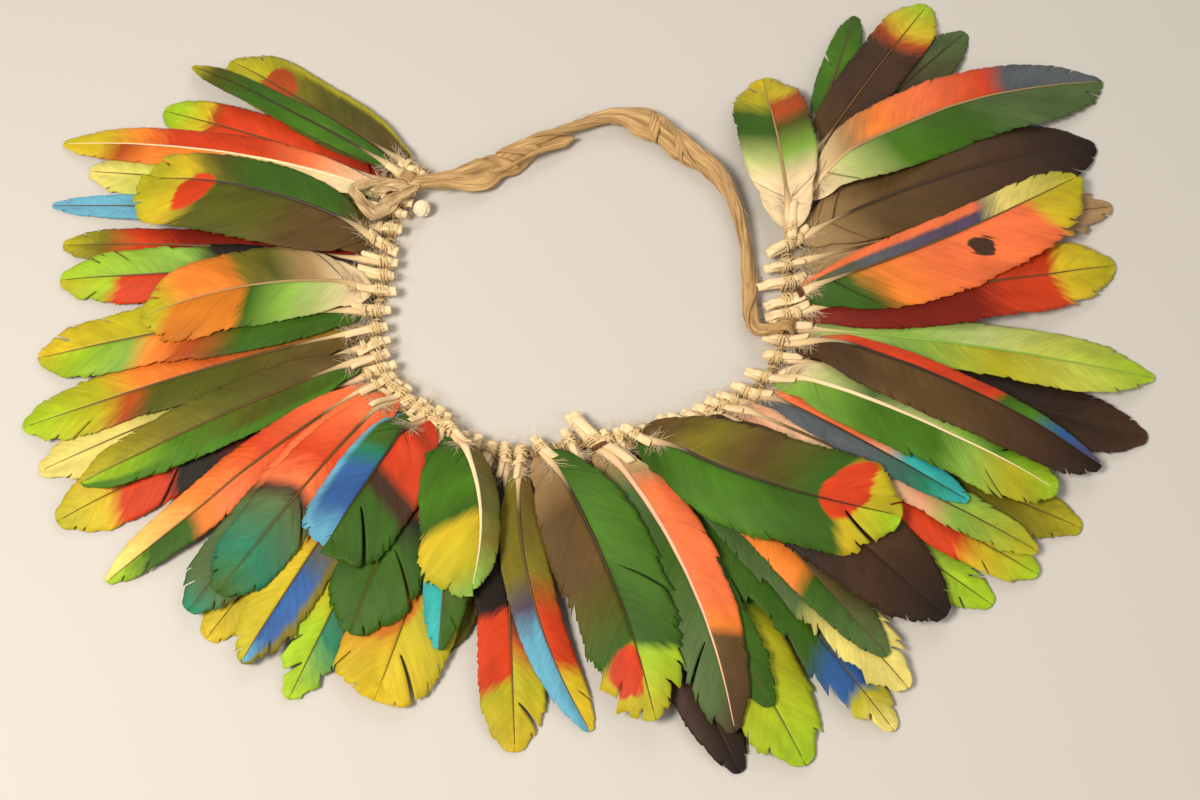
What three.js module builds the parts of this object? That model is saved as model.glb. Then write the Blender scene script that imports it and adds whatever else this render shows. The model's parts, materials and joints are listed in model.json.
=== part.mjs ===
// Feathered headdress: a ring of parrot wing and tail feathers tied by their quills to a plant-fibre
// cord, closed at the back by a twisted bark strip. It lies flat, face up, as it does off the head.
// Units are millimetres, +Z is up and the surface it lies on is z = 0.
import * as THREE from "three";

// Driving dimensions
const CORD_RADIUS = 2.1; // foundation cord, from the middle to a corner of its section
const CORD_SIDES = 8;
const CORD_STEPS = 64;
const CORD_FROM = 146; // bearings of the two cord ends, counterclockwise from +X
const CORD_TO = 394;
const QUILL_RADIUS = 1.25; // bare shaft where it is tied to the cord
const QUILL_BARE = 9; // bare shaft between the cord and the first barbs
const QUILL_LEVEL = 3; // the quill lies level on the cord this far to both sides of its tie
const SHAFT_HALF = 0.9; // half depth of the shaft along the vane, at its base and at its tip
const SHAFT_HALF_TIP = 0.45;
const VANE_HALF = 0.4; // half thickness of a vane at its edge
const VANE_DROOP = 0.08; // fall of a vane from the shaft to its edge, per millimetre of width
const ARCH_SHARE = 0.045; // rise of a feather's middle, as a share of its length
const BEND_RADIUS = 160; // sharpest bend of a shaft over what it lies on
const STEEPEST_RISE = 0.45; // slope of a shaft from its tie up to what it lies on
const ROLL_TRIES = [0, -4, 4, -8, 8]; // turns about the shaft that a feather may settle into, in degrees
const CLEARANCE = 0.45; // left between one piece and the next
const FLOOR_GAP = 0.2; // left under a feather, so that the cord carries the ring
const STRAP_SIDES = 8;
const STRAP_STEPS = 44;
const BED_CELL = 0.5; // cell of the height map that the feathers are laid on
const BED_REACH = 280;

// Plan of the foundation cord about the middle of the head opening
const RING = table("bearing radius", [
  [140, 88],
  [158, 91],
  [172, 90],
  [186, 91],
  [199, 98],
  [213, 105],
  [232, 102],
  [248, 102],
  [265, 90],
  [285, 90],
  [310, 94],
  [326, 98],
  [346, 92],
  [364, 91],
  [380, 104],
  [396, 128],
]);

// Vane outlines: share of the full width at each place along the vane
const OUTLINE = table("at tail wing point", [
  [0.0, 0.16, 0.16, 0.16],
  [0.05, 0.46, 0.44, 0.42],
  [0.12, 0.68, 0.7, 0.6],
  [0.22, 0.85, 0.88, 0.74],
  [0.35, 0.95, 0.98, 0.83],
  [0.5, 0.99, 1.0, 0.9],
  [0.64, 1.0, 0.98, 0.97],
  [0.77, 1.0, 0.92, 1.0],
  [0.88, 0.94, 0.78, 0.84],
  [0.96, 0.7, 0.52, 0.44],
  [1.0, 0.28, 0.18, 0.1],
]);

// Every feather, from the left end of the cord round to the right end.
// seat: bearing of its tie on the cord. aim: bearing that it points along. length: cord to tip.
// stub: bare quill left on the inner side of the cord. left: share of the width to the left of the shaft,
// seen from the quill. bow: sideways bend, to the left. roll: turn about the shaft, left edge up.
// layer: order of laying. perch: height of its tie above the first row of ties.
const FEATHERS = table("seat aim length width stub left bow roll layer perch outline tone", [
  [149.5, 145, 110, 34, 6, 0.5, 0, 4, 1, 0, "tail", "olive"],
  [153, 148.5, 125, 14, 6, 0.5, 0, 18, 4, 0, "wing", "green"],
  [156.5, 158, 123, 26, 6, 0.5, 0, -4, 0, 0, "tail", "red"],
  [160, 168, 161, 22, 6, 0.5, -5, 6, 3, 0, "wing", "orange"],
  [164.5, 170, 143, 24, 6, 0.5, 0, 0, 0, 0, "tail", "yellow"],
  [170, 174.5, 156, 12, 6, 0.5, 0, -12, 1, 0, "wing", "blue"],
  [176, 164.5, 121, 43, 6, 0.62, -8, 0, 4, 0, "tail", "green"],
  [181, 175.5, 146, 18, 6, 0.5, 0, 8, 0, 0, "tail", "red"],
  [185.5, 180, 143, 26, 6, 0.5, 0, -8, 1, 0, "tail", "red"],
  [190, 189, 101, 40, 6, 0.5, -6, 2, 3, 0, "tail", "orange"],
  [196, 188, 147, 32, 6, 0.5, 0, -6, 2, 0, "tail", "green"],
  [201, 197, 154, 30, 6, 0.5, 0, 4, 1, 0, "tail", "olive"],
  [205, 202.5, 150, 26, 6, 0.5, 0, 0, 0, 0, "tail", "yellow"],
  [208.5, 206.5, 133, 27, 6, 0.5, 0, 8, 2, 0, "wing", "olive"],
  [212, 207.5, 147, 29, 6, 0.5, 0, -4, 1, 0, "tail", "red"],
  [215, 219, 142, 21, 6, 0.5, 0, 4, 2, 0, "wing", "red"],
  [217.8, 232, 125, 28, 5, 0.5, 0, 4, 3, 0, "tail", "green"],
  [220.5, 232.5, 112, 30, 6, 0.5, 0, 0, 4, 0, "tail", "red"],
  [223.2, 233, 128, 27, 5, 0.5, 0, 0, 0, 0, "tail", "yellow"],
  [225.8, 239.5, 128, 29, 6, 0.5, 0, 4, 1, 0, "tail", "yellow"],
  [228.4, 240, 77, 39, 5, 0.6, 0, 0, 5, 0, "tail", "green"],
  [231, 246, 130, 29, 6, 0.5, 0, 0, 0, 0, "tail", "yellow"],
  [233.6, 250, 96, 37, 5, 0.55, 0, -4, 2, 0, "tail", "green"],
  [236.4, 279, 73, 34, 6, 0.24, 8, 6, 6, 3, "tail", "green"],
  [239.6, 266, 92, 20, 5, 0.55, 0, 6, 3, 0, "wing", "blue"],
  [243, 251.5, 121, 45, 6, 0.5, 0, 0, 1, 0, "tail", "yellow"],
  [247, 258, 88, 26, 5, 0.5, 0, 0, 0, 0, "wing", "brown"],
  [250.5, 273, 124, 29, 6, 0.5, 0, 3, 1, 0, "tail", "red"],
  [254, 284, 121, 20, 5, 0.5, -10, -10, 2, 0, "wing", "olive"],
  [258.5, 292, 124, 43, 6, 0.5, 5, 2, 4, 0, "tail", "green"],
  [266, 296, 154, 27, 5, 0.5, 0, 0, 0, 0, "wing", "brown"],
  [272.5, 294, 136, 34, 16, 0.45, 9, 0, 3, 0, "wing", "green"],
  [276.5, 299, 131, 26, 7, 0.5, 0, 4, 1, 0, "wing", "green"],
  [280, 297.5, 153, 38, 7, 0.5, 0, 0, 0, 0, "tail", "yellow"],
  [283.5, 339.5, 113, 48, 7, 0.5, -7, -2, 6, 3.5, "tail", "green"],
  [287, 307.5, 157, 31, 7, 0.5, 0, 0, 0, 0, "tail", "yellow"],
  [290.5, 311.5, 146, 33, 7, 0.5, 0, 3, 1, 0, "tail", "yellow"],
  [294, 310, 130, 24, 7, 0.5, 0, -4, 2, 0, "wing", "orange"],
  [297.5, 321, 133, 43, 7, 0.5, 0, 2, 3, 0, "wing", "brown"],
  [301, 326, 143, 26, 7, 0.5, 0, 0, 0, 0, "tail", "green"],
  [305, 332, 150, 26, 8, 0.5, 0, 4, 1, 0, "tail", "red"],
  [309, 333, 143, 20, 8, 0.5, 0, -6, 2, 0, "tail", "yellow"],
  [312.5, 338.5, 153, 30, 8, 0.5, 0, 0, 0, 0, "tail", "olive"],
  [316.5, 329.5, 103, 18, 8, 0.5, 0, -8, 3, 0, "wing", "blue"],
  [323, 336, 129, 36, 8, 0.5, 3, 2, 4, 0, "tail", "green"],
  [329.5, 347, 160, 33, 8, 0.5, 0, 0, 0, 0, "wing", "brown"],
  [334.5, 336, 143, 25, 8, 0.25, 5, 6, 5, 0, "wing", "brown"],
  [338.5, 352, 161, 31, 8, 0.5, 0, -4, 1, 0, "point", "yellow"],
  [342, 370.5, 150, 34, 9, 0.5, -3, -4, 2, 0, "tail", "red"],
  [346.5, 385, 148, 38, 10, 0.3, -6, 4, 3, 0, "tail", "red"],
  [352, 382, 128, 21, 12, 0.5, -9, 0, 1, 0, "wing", "red"],
  [358, 372.5, 153, 28, 10, 0.5, 0, 0, 0, 0, "tail", "grey"],
  [364.5, 381, 155, 43, 12, 0.5, 4, 3, 2, 0, "wing", "brown"],
  [368, 455.5, 85, 35, 6, 0.5, 0, 0, 5, 4, "tail", "green"],
  [377, 385.5, 163, 40, 12, 0.45, 12, 2, 3, 0, "wing", "green"],
  [381, 407, 123, 26, 10, 0.5, 0, 0, 0, 0, "wing", "grey"],
  [384.5, 416.5, 116, 28, 7, 0.5, 0, 0, 1, 2.5, "tail", "brown"],
  [390.5, 431, 80, 16, 7, 0.5, 0, -12, 0, 0, "wing", "green"],
]);

// Bark strip that closes the ring, from the left end of the cord to its hook on the right side.
// width and depth: its flat section. turn: twist of the section about its own run, in degrees.
const STRAP = table("x y z width depth turn", [
  [-80, 38, 9.6, 7, 3.0, 0],
  [-66, 40, 8.6, 10, 3.6, 5],
  [-51, 43, 6.2, 13, 4.0, 15],
  [-37, 51, 5.2, 12.5, 4.0, 25],
  [-24, 60, 5.6, 10, 4.0, 60],
  [-9, 70, 5.0, 8, 4.2, 110],
  [5, 76, 5.0, 8.4, 4.4, 150],
  [18, 77, 5.2, 11, 4.8, 172],
  [31, 71, 5.2, 12.5, 4.8, 192],
  [46, 58, 5.4, 11, 4.6, 212],
  [60, 45, 5.6, 9.5, 4.6, 235],
  [68, 30, 4.8, 8, 4.8, 262],
  [72, 12, 4.6, 7.4, 5.2, 290],
  [73, -8, 4.2, 7.2, 5.4, 320],
  [73, -26, 4.2, 7, 5.4, 350],
  [75, -36.5, 7.6, 6.2, 5.0, 372],
  [80, -37.5, 10.1, 5.4, 4.4, 388],
  [87, -36.6, 10.4, 4.6, 3.6, 400],
]);

const TONES = {
  green: 0x3f7d22,
  olive: 0x7c7a22,
  yellow: 0xbfb62a,
  orange: 0xe0702c,
  red: 0xb8301c,
  brown: 0x4a372a,
  blue: 0x4f9fae,
  grey: 0x6f7464,
  fibre: 0xc3a878,
  bark: 0xb48a54,
};

// Rows of values as objects with named columns
function table(columns, rows) {
  const names = columns.split(" ");
  return rows.map((row) => Object.fromEntries(names.map((name, i) => [name, row[i]])));
}

const radians = THREE.MathUtils.degToRad;
const lerp = THREE.MathUtils.lerp;
const clamp = THREE.MathUtils.clamp;

// Level direction of a bearing
function heading(bearing) {
  return new THREE.Vector3(Math.cos(radians(bearing)), Math.sin(radians(bearing)), 0);
}

// Curve through the rows of the ring's plan
const ringCurve = new THREE.SplineCurve(RING.map((row) => new THREE.Vector2(row.bearing, row.radius)));

// Point of the cord's middle line at a bearing, at a height
function ringPoint(bearing, z) {
  const after = clamp(RING.findIndex((row) => row.bearing > bearing), 1, RING.length - 1);
  const [from, to] = [RING[after - 1].bearing, RING[after].bearing];
  const t = (after - 1 + (bearing - from) / (to - from)) / (RING.length - 1);
  const point = heading(bearing).multiplyScalar(ringCurve.getPoint(t).y);
  point.z = z;
  return point;
}

// Closed body through sections that each hold the same number of corners,
// counterclockwise as seen from the far end
function loft(sections) {
  const corners = sections[0].length;
  const positions = sections.flat().flatMap((p) => [p.x, p.y, p.z]);
  const faces = [];
  for (let i = 0; i + 1 < sections.length; i++) {
    for (let j = 0; j < corners; j++) {
      const [a, b] = [i * corners + j, i * corners + ((j + 1) % corners)];
      faces.push(a, b, b + corners, a, b + corners, a + corners);
    }
  }
  const end = (sections.length - 1) * corners;
  for (let j = 1; j + 1 < corners; j++) {
    faces.push(0, j + 1, j, end, end + j, end + j + 1);
  }
  const body = new THREE.BufferGeometry();
  body.setAttribute("position", new THREE.Float32BufferAttribute(positions, 3));
  body.setIndex(faces);
  return body;
}

// Visits points spread closely over the triangles of a loft
function forEachPoint(sections, visit) {
  const corners = sections[0].length;
  const spread = 0.7 * BED_CELL;
  const p = new THREE.Vector3();
  for (let i = 0; i + 1 < sections.length; i++) {
    for (let j = 0; j < corners; j++) {
      const k = (j + 1) % corners;
      const [a, b] = [sections[i][j], sections[i][k]];
      const [d, c] = [sections[i + 1][j], sections[i + 1][k]];
      const along = Math.ceil(Math.max(a.distanceTo(d), b.distanceTo(c)) / spread);
      const across = Math.ceil(Math.max(a.distanceTo(b), d.distanceTo(c)) / spread);
      for (let m = 0; m <= along; m++) {
        for (let n = 0; n <= across; n++) {
          const [u, w] = [n / across, m / along];
          const corner = w < u ? b : d;
          const [first, second] = w < u ? [u, w] : [w, u];
          p.copy(a).multiplyScalar(1 - first);
          p.addScaledVector(corner, first - second).addScaledVector(c, second);
          visit(p);
        }
      }
    }
  }
}

// Height map of what already lies on the surface
class Bed {
  constructor() {
    this.side = (2 * BED_REACH) / BED_CELL;
    this.top = new Float32Array(this.side * this.side);
  }

  cell(x, y) {
    const column = Math.floor((x + BED_REACH) / BED_CELL);
    const row = Math.floor((y + BED_REACH) / BED_CELL);
    return row * this.side + column;
  }

  // Lowest height that clears the surface in the cell of a point and in the cells round it
  clearAt(x, y) {
    const at = this.cell(x, y);
    let highest = 0;
    for (const row of [at - this.side, at, at + this.side]) {
      highest = Math.max(highest, this.top[row - 1], this.top[row], this.top[row + 1]);
    }
    return highest > 0 ? highest + CLEARANCE : FLOOR_GAP;
  }

  // Records the upper side of a lofted body
  lay(sections) {
    forEachPoint(sections, (p) => {
      const at = this.cell(p.x, p.y);
      this.top[at] = Math.max(this.top[at], p.z);
    });
  }
}

// Foundation cord: a faceted tube that lies on one flat side
const CORD_FLAT = CORD_RADIUS * Math.cos(Math.PI / CORD_SIDES);

function cordSections() {
  const sections = [];
  for (let i = 0; i <= CORD_STEPS; i++) {
    const bearing = lerp(CORD_FROM, CORD_TO, i / CORD_STEPS);
    const middle = ringPoint(bearing, CORD_FLAT);
    const ahead = ringPoint(bearing + 0.5, 0).sub(ringPoint(bearing - 0.5, 0)).normalize();
    const leftward = new THREE.Vector3(-ahead.y, ahead.x, 0);
    const section = [];
    for (let j = 0; j < CORD_SIDES; j++) {
      const a = ((j + 0.5) / CORD_SIDES) * 2 * Math.PI;
      const p = middle.clone().addScaledVector(leftward, -CORD_RADIUS * Math.cos(a));
      p.z -= CORD_RADIUS * Math.sin(a);
      section.push(p);
    }
    sections.push(section);
  }
  return sections;
}

// Bark strip: an oval section that turns as it runs through the rows of its table
function strapSections() {
  const run = new THREE.CatmullRomCurve3(STRAP.map((row) => new THREE.Vector3(row.x, row.y, row.z)));
  const sections = [];
  for (let i = 0; i <= STRAP_STEPS; i++) {
    const t = i / STRAP_STEPS;
    const at = t * (STRAP.length - 1);
    const row = Math.min(STRAP.length - 2, Math.floor(at));
    const value = (name) => lerp(STRAP[row][name], STRAP[row + 1][name], at - row);
    const middle = run.getPoint(t);
    const ahead = run.getTangent(t);
    const leftward = new THREE.Vector3(-ahead.y, ahead.x, 0).normalize();
    const upward = new THREE.Vector3().crossVectors(ahead, leftward);
    const turn = radians(value("turn"));
    const section = [];
    for (let j = 0; j < STRAP_SIDES; j++) {
      const a = (j / STRAP_SIDES) * 2 * Math.PI;
      const u = (value("width") / 2) * Math.cos(a);
      const v = (value("depth") / 2) * Math.sin(a);
      const across = u * Math.cos(turn) - v * Math.sin(turn);
      const height = u * Math.sin(turn) + v * Math.cos(turn);
      section.push(middle.clone().addScaledVector(leftward, across).addScaledVector(upward, height));
    }
    sections.push(section);
  }
  return sections;
}

// Distances from the tie and shares of the width of the sections that a feather is lofted through
function featherStations(feather) {
  const vane = feather.length - QUILL_BARE;
  const bare = [-feather.stub, -QUILL_LEVEL, QUILL_LEVEL].map((s) => ({ s, share: 0 }));
  const feathered = OUTLINE.map((row) => ({ s: QUILL_BARE + row.at * vane, share: row[feather.outline] }));
  return [...bare, ...feathered];
}

// Height of a quill where it lies on the cord
function tieHeight(feather) {
  return 2 * CORD_FLAT + CLEARANCE + QUILL_RADIUS + feather.perch;
}

// Sections of one feather with its shaft at the given heights. Each lies in an upright plane
// across the straight line from tie to tip: left edge, shaft and right edge, above and then below.
function featherSections(feather, roll, heights) {
  const tie = ringPoint(feather.seat, 0);
  const ahead = heading(feather.aim);
  const leftward = heading(feather.aim + 90);
  const tilt = Math.tan(radians(feather.roll + roll));
  return featherStations(feather).map(({ s, share }, i) => {
    const t = s / feather.length;
    const bend = 4 * feather.bow * t * (s > 0 ? 1 - t : 1);
    const corner = (v, z) => {
      const p = tie.clone().addScaledVector(ahead, s).addScaledVector(leftward, bend + v);
      p.z = heights[i] + z;
      return p;
    };
    if (share === 0) {
      const [side, half] = [QUILL_RADIUS * Math.cos(Math.PI / 6), QUILL_RADIUS / 2];
      const upper = [corner(side, half), corner(0, QUILL_RADIUS), corner(-side, half)];
      const lower = [corner(-side, -half), corner(0, -QUILL_RADIUS), corner(side, -half)];
      return [...upper, ...lower];
    }
    const left = share * feather.width * feather.left;
    const right = share * feather.width * (1 - feather.left);
    const shaft = lerp(SHAFT_HALF, SHAFT_HALF_TIP, t);
    const leftZ = left * (tilt - VANE_DROOP);
    const rightZ = right * (-tilt - VANE_DROOP);
    const upper = [corner(left, leftZ + VANE_HALF), corner(0, shaft), corner(-right, rightZ + VANE_HALF)];
    const lower = [corner(-right, rightZ - VANE_HALF), corner(0, -shaft), corner(left, leftZ - VANE_HALF)];
    return [...upper, ...lower];
  });
}

// Heights of a feather's shaft at its stations, where it comes down to the floor at its tip
// and bends over what is already on the bed
function drape(feather, roll, bed) {
  const stations = featherStations(feather);
  const tie = ringPoint(feather.seat, 0);
  const ahead = heading(feather.aim);
  const low = tieHeight(feather);

  // Least height of the shaft in each millimetre of its length
  const needs = new Array(Math.ceil(feather.length) + 1).fill(0);
  const level = featherSections(feather, roll, stations.map(() => 0));
  forEachPoint(level, (p) => {
    const s = (p.x - tie.x) * ahead.x + (p.y - tie.y) * ahead.y;
    if (s < QUILL_LEVEL) return;
    const at = Math.floor(s);
    needs[at] = Math.max(needs[at], bed.clearAt(p.x, p.y) - p.z);
  });

  // Its own arch from tie to floor, lifted where it needs to be, with no bend sharper than it can take
  const own = (at) => {
    const t = at / feather.length;
    const arch = 4 * ARCH_SHARE * feather.length * t * (1 - t);
    return lerp(low, FLOOR_GAP + SHAFT_HALF_TIP, t) + arch;
  };
  const lifts = needs.map((need, at) => Math.max(0, need - own(at)));
  const bent = lifts.map((lift, at) => {
    const carried = Math.max(...lifts.map((other, from) => other - (at - from) ** 2 / (2 * BEND_RADIUS)));
    const most = STEEPEST_RISE * Math.max(0, at - QUILL_LEVEL);
    return own(at) + Math.max(lift, Math.min(carried, most));
  });

  // The same at the stations, raised where the straight stretch between two of them would cut too low
  const heights = stations.map(({ s }) => (s > QUILL_LEVEL ? bent[Math.round(s)] : low));
  const firstFree = stations.findIndex(({ s }) => s > QUILL_LEVEL);
  for (let i = firstFree - 1; i + 1 < stations.length; i++) {
    const [from, to] = [stations[i].s, stations[i + 1].s];
    const tied = i < firstFree;
    let short = 0;
    for (let at = Math.floor(from); at < to; at++) {
      const part = clamp((at + 0.5 - from) / (to - from), 0, 1);
      const miss = needs[at] - lerp(heights[i], heights[i + 1], part);
      short = Math.max(short, tied ? miss / Math.max(part, 0.1) : miss);
    }
    if (!tied) heights[i] += short;
    heights[i + 1] += short;
  }
  return heights;
}

// Lays a feather with the turn about its shaft that lets it lie lowest, and records it on the bed
function layFeather(feather, bed) {
  const tries = ROLL_TRIES.map((roll) => {
    const heights = drape(feather, roll, bed);
    return { roll, heights, sum: heights.reduce((a, b) => a + b) };
  });
  const best = tries.reduce((a, b) => (b.sum < a.sum ? b : a));
  const sections = featherSections(feather, best.roll, best.heights);
  bed.lay(sections);
  return loft(sections);
}

function piece(name, geometry, tone) {
  const material = new THREE.MeshStandardMaterial({ color: TONES[tone], roughness: 0.7, metalness: 0 });
  const mesh = new THREE.Mesh(geometry, material);
  mesh.name = name;
  return mesh;
}

// Assembly about the middle of the head opening, then set with the middle of its box at the origin
const ring = new THREE.Group();
const bed = new Bed();

const cord = cordSections();
bed.lay(cord);
ring.add(piece("base_cord", loft(cord), "fibre"));

const strap = strapSections();
bed.lay(strap);
ring.add(piece("tie_strap", loft(strap), "bark"));

const named = FEATHERS.map((feather, i) => {
  const number = String(i + 1).padStart(2, "0");
  return { ...feather, name: `feather_${number}` };
});
for (const feather of named.sort((a, b) => a.layer - b.layer)) {
  ring.add(piece(feather.name, layFeather(feather, bed), feather.tone));
}

const middle = new THREE.Box3().setFromObject(ring).getCenter(new THREE.Vector3());
ring.position.set(-middle.x, -middle.y, 0);

const headdress = new THREE.Group();
headdress.name = "feathered_headdress";
headdress.add(ring);

export default headdress;
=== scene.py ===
"""Feathered headdress: barbed feathers on a twisted cord, thread lashings, and a bark strip.

Every piece is built on the sections of its CAD solid, so it stays where the frame puts it.
Sizes are in millimetres until a mesh is made, and the frame is in metres.
"""
import json
import logging
import math
from dataclasses import dataclass, field
from enum import Enum
from operator import attrgetter
from typing import Iterator, Union

import bpy
import numpy as np
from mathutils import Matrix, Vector


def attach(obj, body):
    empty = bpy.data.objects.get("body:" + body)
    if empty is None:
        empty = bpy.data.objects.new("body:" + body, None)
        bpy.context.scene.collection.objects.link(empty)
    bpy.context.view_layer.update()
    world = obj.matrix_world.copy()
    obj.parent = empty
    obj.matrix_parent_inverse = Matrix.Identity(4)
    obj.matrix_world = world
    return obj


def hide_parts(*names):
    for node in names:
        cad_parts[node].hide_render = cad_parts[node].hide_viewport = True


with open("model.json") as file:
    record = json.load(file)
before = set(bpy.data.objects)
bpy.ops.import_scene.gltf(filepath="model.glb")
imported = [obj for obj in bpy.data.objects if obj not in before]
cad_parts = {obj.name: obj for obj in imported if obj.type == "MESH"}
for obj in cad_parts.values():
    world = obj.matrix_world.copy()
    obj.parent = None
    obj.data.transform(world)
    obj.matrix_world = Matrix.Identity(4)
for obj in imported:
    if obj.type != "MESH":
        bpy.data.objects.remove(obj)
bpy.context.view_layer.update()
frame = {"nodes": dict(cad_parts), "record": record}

LOG = logging.getLogger("headdress")
MM = 0.001
BODY = "root"
UP = np.array((0.0, 0.0, 1.0))
Array = np.ndarray
Colour = tuple[float, float, float, float]
Socket = bpy.types.NodeSocket
Value = Union[Socket, float, Colour]
USUAL_COVER = 3.5


class Pigment(Enum):
    """Colours of plumage, horn and fibre, as display values from 0 to 255."""

    LEAF = (56, 92, 20)
    EMERALD = (70, 115, 21)
    FRESH = (132, 172, 66)
    PALE_GREEN = (176, 188, 112)
    LIME = (156, 190, 34)
    PALE_LIME = (190, 198, 78)
    MOSS = (82, 84, 20)
    OLIVE = (118, 108, 28)
    CITRON = (176, 168, 30)
    GOLD = (206, 178, 36)
    STRAW = (222, 206, 112)
    RUST = (176, 74, 24)
    # A darker orange; on feathers 10 and 26 partly their own colour, partly painted shade.
    AMBER = (202, 116, 30)
    ORANGE = (238, 130, 48)
    CORAL = (242, 117, 65)
    RED = (202, 62, 24)
    MAROON = (118, 28, 12)
    PINK = (220, 152, 118)
    ROSE_GREY = (168, 140, 118)
    UMBER = (94, 70, 34)
    TAN = (166, 134, 88)
    BROWN = (68, 46, 30)
    SOOT = (33, 25, 19)
    SLATE = (86, 92, 96)
    VIOLET = (84, 70, 92)
    BLUE = (50, 92, 150)
    SKY = (98, 164, 190)
    TURQUOISE = (54, 172, 168)
    TEAL = (36, 120, 88)
    SAGE = (80, 102, 56)
    CREAM = (240, 214, 168)
    HORN = (226, 196, 146)
    DARK_HORN = (58, 42, 28)
    ROSE_HORN = (232, 180, 144)
    THREAD = (232, 208, 160)
    PALE_THREAD = (244, 236, 214)
    DARK_THREAD = (128, 70, 38)
    FIBRE = (202, 172, 118)
    BARK = (216, 178, 120)
    PALE_BARK = (216, 188, 142)
    DEEP_BARK = (136, 100, 58)
    DOWN = (230, 212, 180)
    # Bark in shade: as the dark streak of bark and cord it lies in their grooves, partly their own darker
    # fibre, partly painted shade.

    @property
    def linear(self) -> Colour:
        """Scene-linear colour with full alpha.

        Returns:
            Red, green, blue and alpha.
        """
        scaled = [c / 255.0 for c in self.value]
        r, g, b = (((c + 0.055) / 1.055) ** 2.4 if c > 0.04 else c / 12.92 for c in scaled)
        return (r, g, b, 1.0)


class Side(Enum):
    """Side of the shaft, seen from the quill towards the tip."""

    LEFT = 1
    RIGHT = -1


@dataclass(frozen=True)
class Plume:
    """Looks of one feather.

    Each vane's colours are pigments with the place along it, in hundredths, where each is full.
    A rim is a pigment, the place across the vane where it begins, and the place along it where it
    ends. A spot is a pigment with its place along and across, left positive, and its two half sizes.
    Splits are gaps between barbs, each a side and a place along the vane, and fray is how ragged the
    tip is. Ridge and stub are how stout its shaft and its quill are, cover is how far its vanes reach
    below their usual base, and fold is how far along and aside its folded quill end lies, where seen.
    """

    number: int
    left: str
    right: str
    left_rim: str = ""
    right_rim: str = ""
    spot: str = ""
    shaft: Pigment = Pigment.UMBER
    fray: float = 0.15
    splits: str = ""
    ridge: float = 0.75
    stub: float = 1.0
    cover: float = USUAL_COVER
    fold: tuple[float, float] | None = None

    @property
    def node(self) -> str:
        """Name of the CAD node that the feather stands for."""
        return f"feather_{self.number:02d}"


def both(number: int, colours: str, **looks: object) -> Plume:
    """A feather with the same colours on both vanes.

    Args:
        number: the feather's number round the cord.
        colours: pigments and places of either vane.
        looks: any other field of Plume.

    Returns:
        The feather's looks.
    """
    return Plume(number, colours, colours, **looks)


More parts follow.
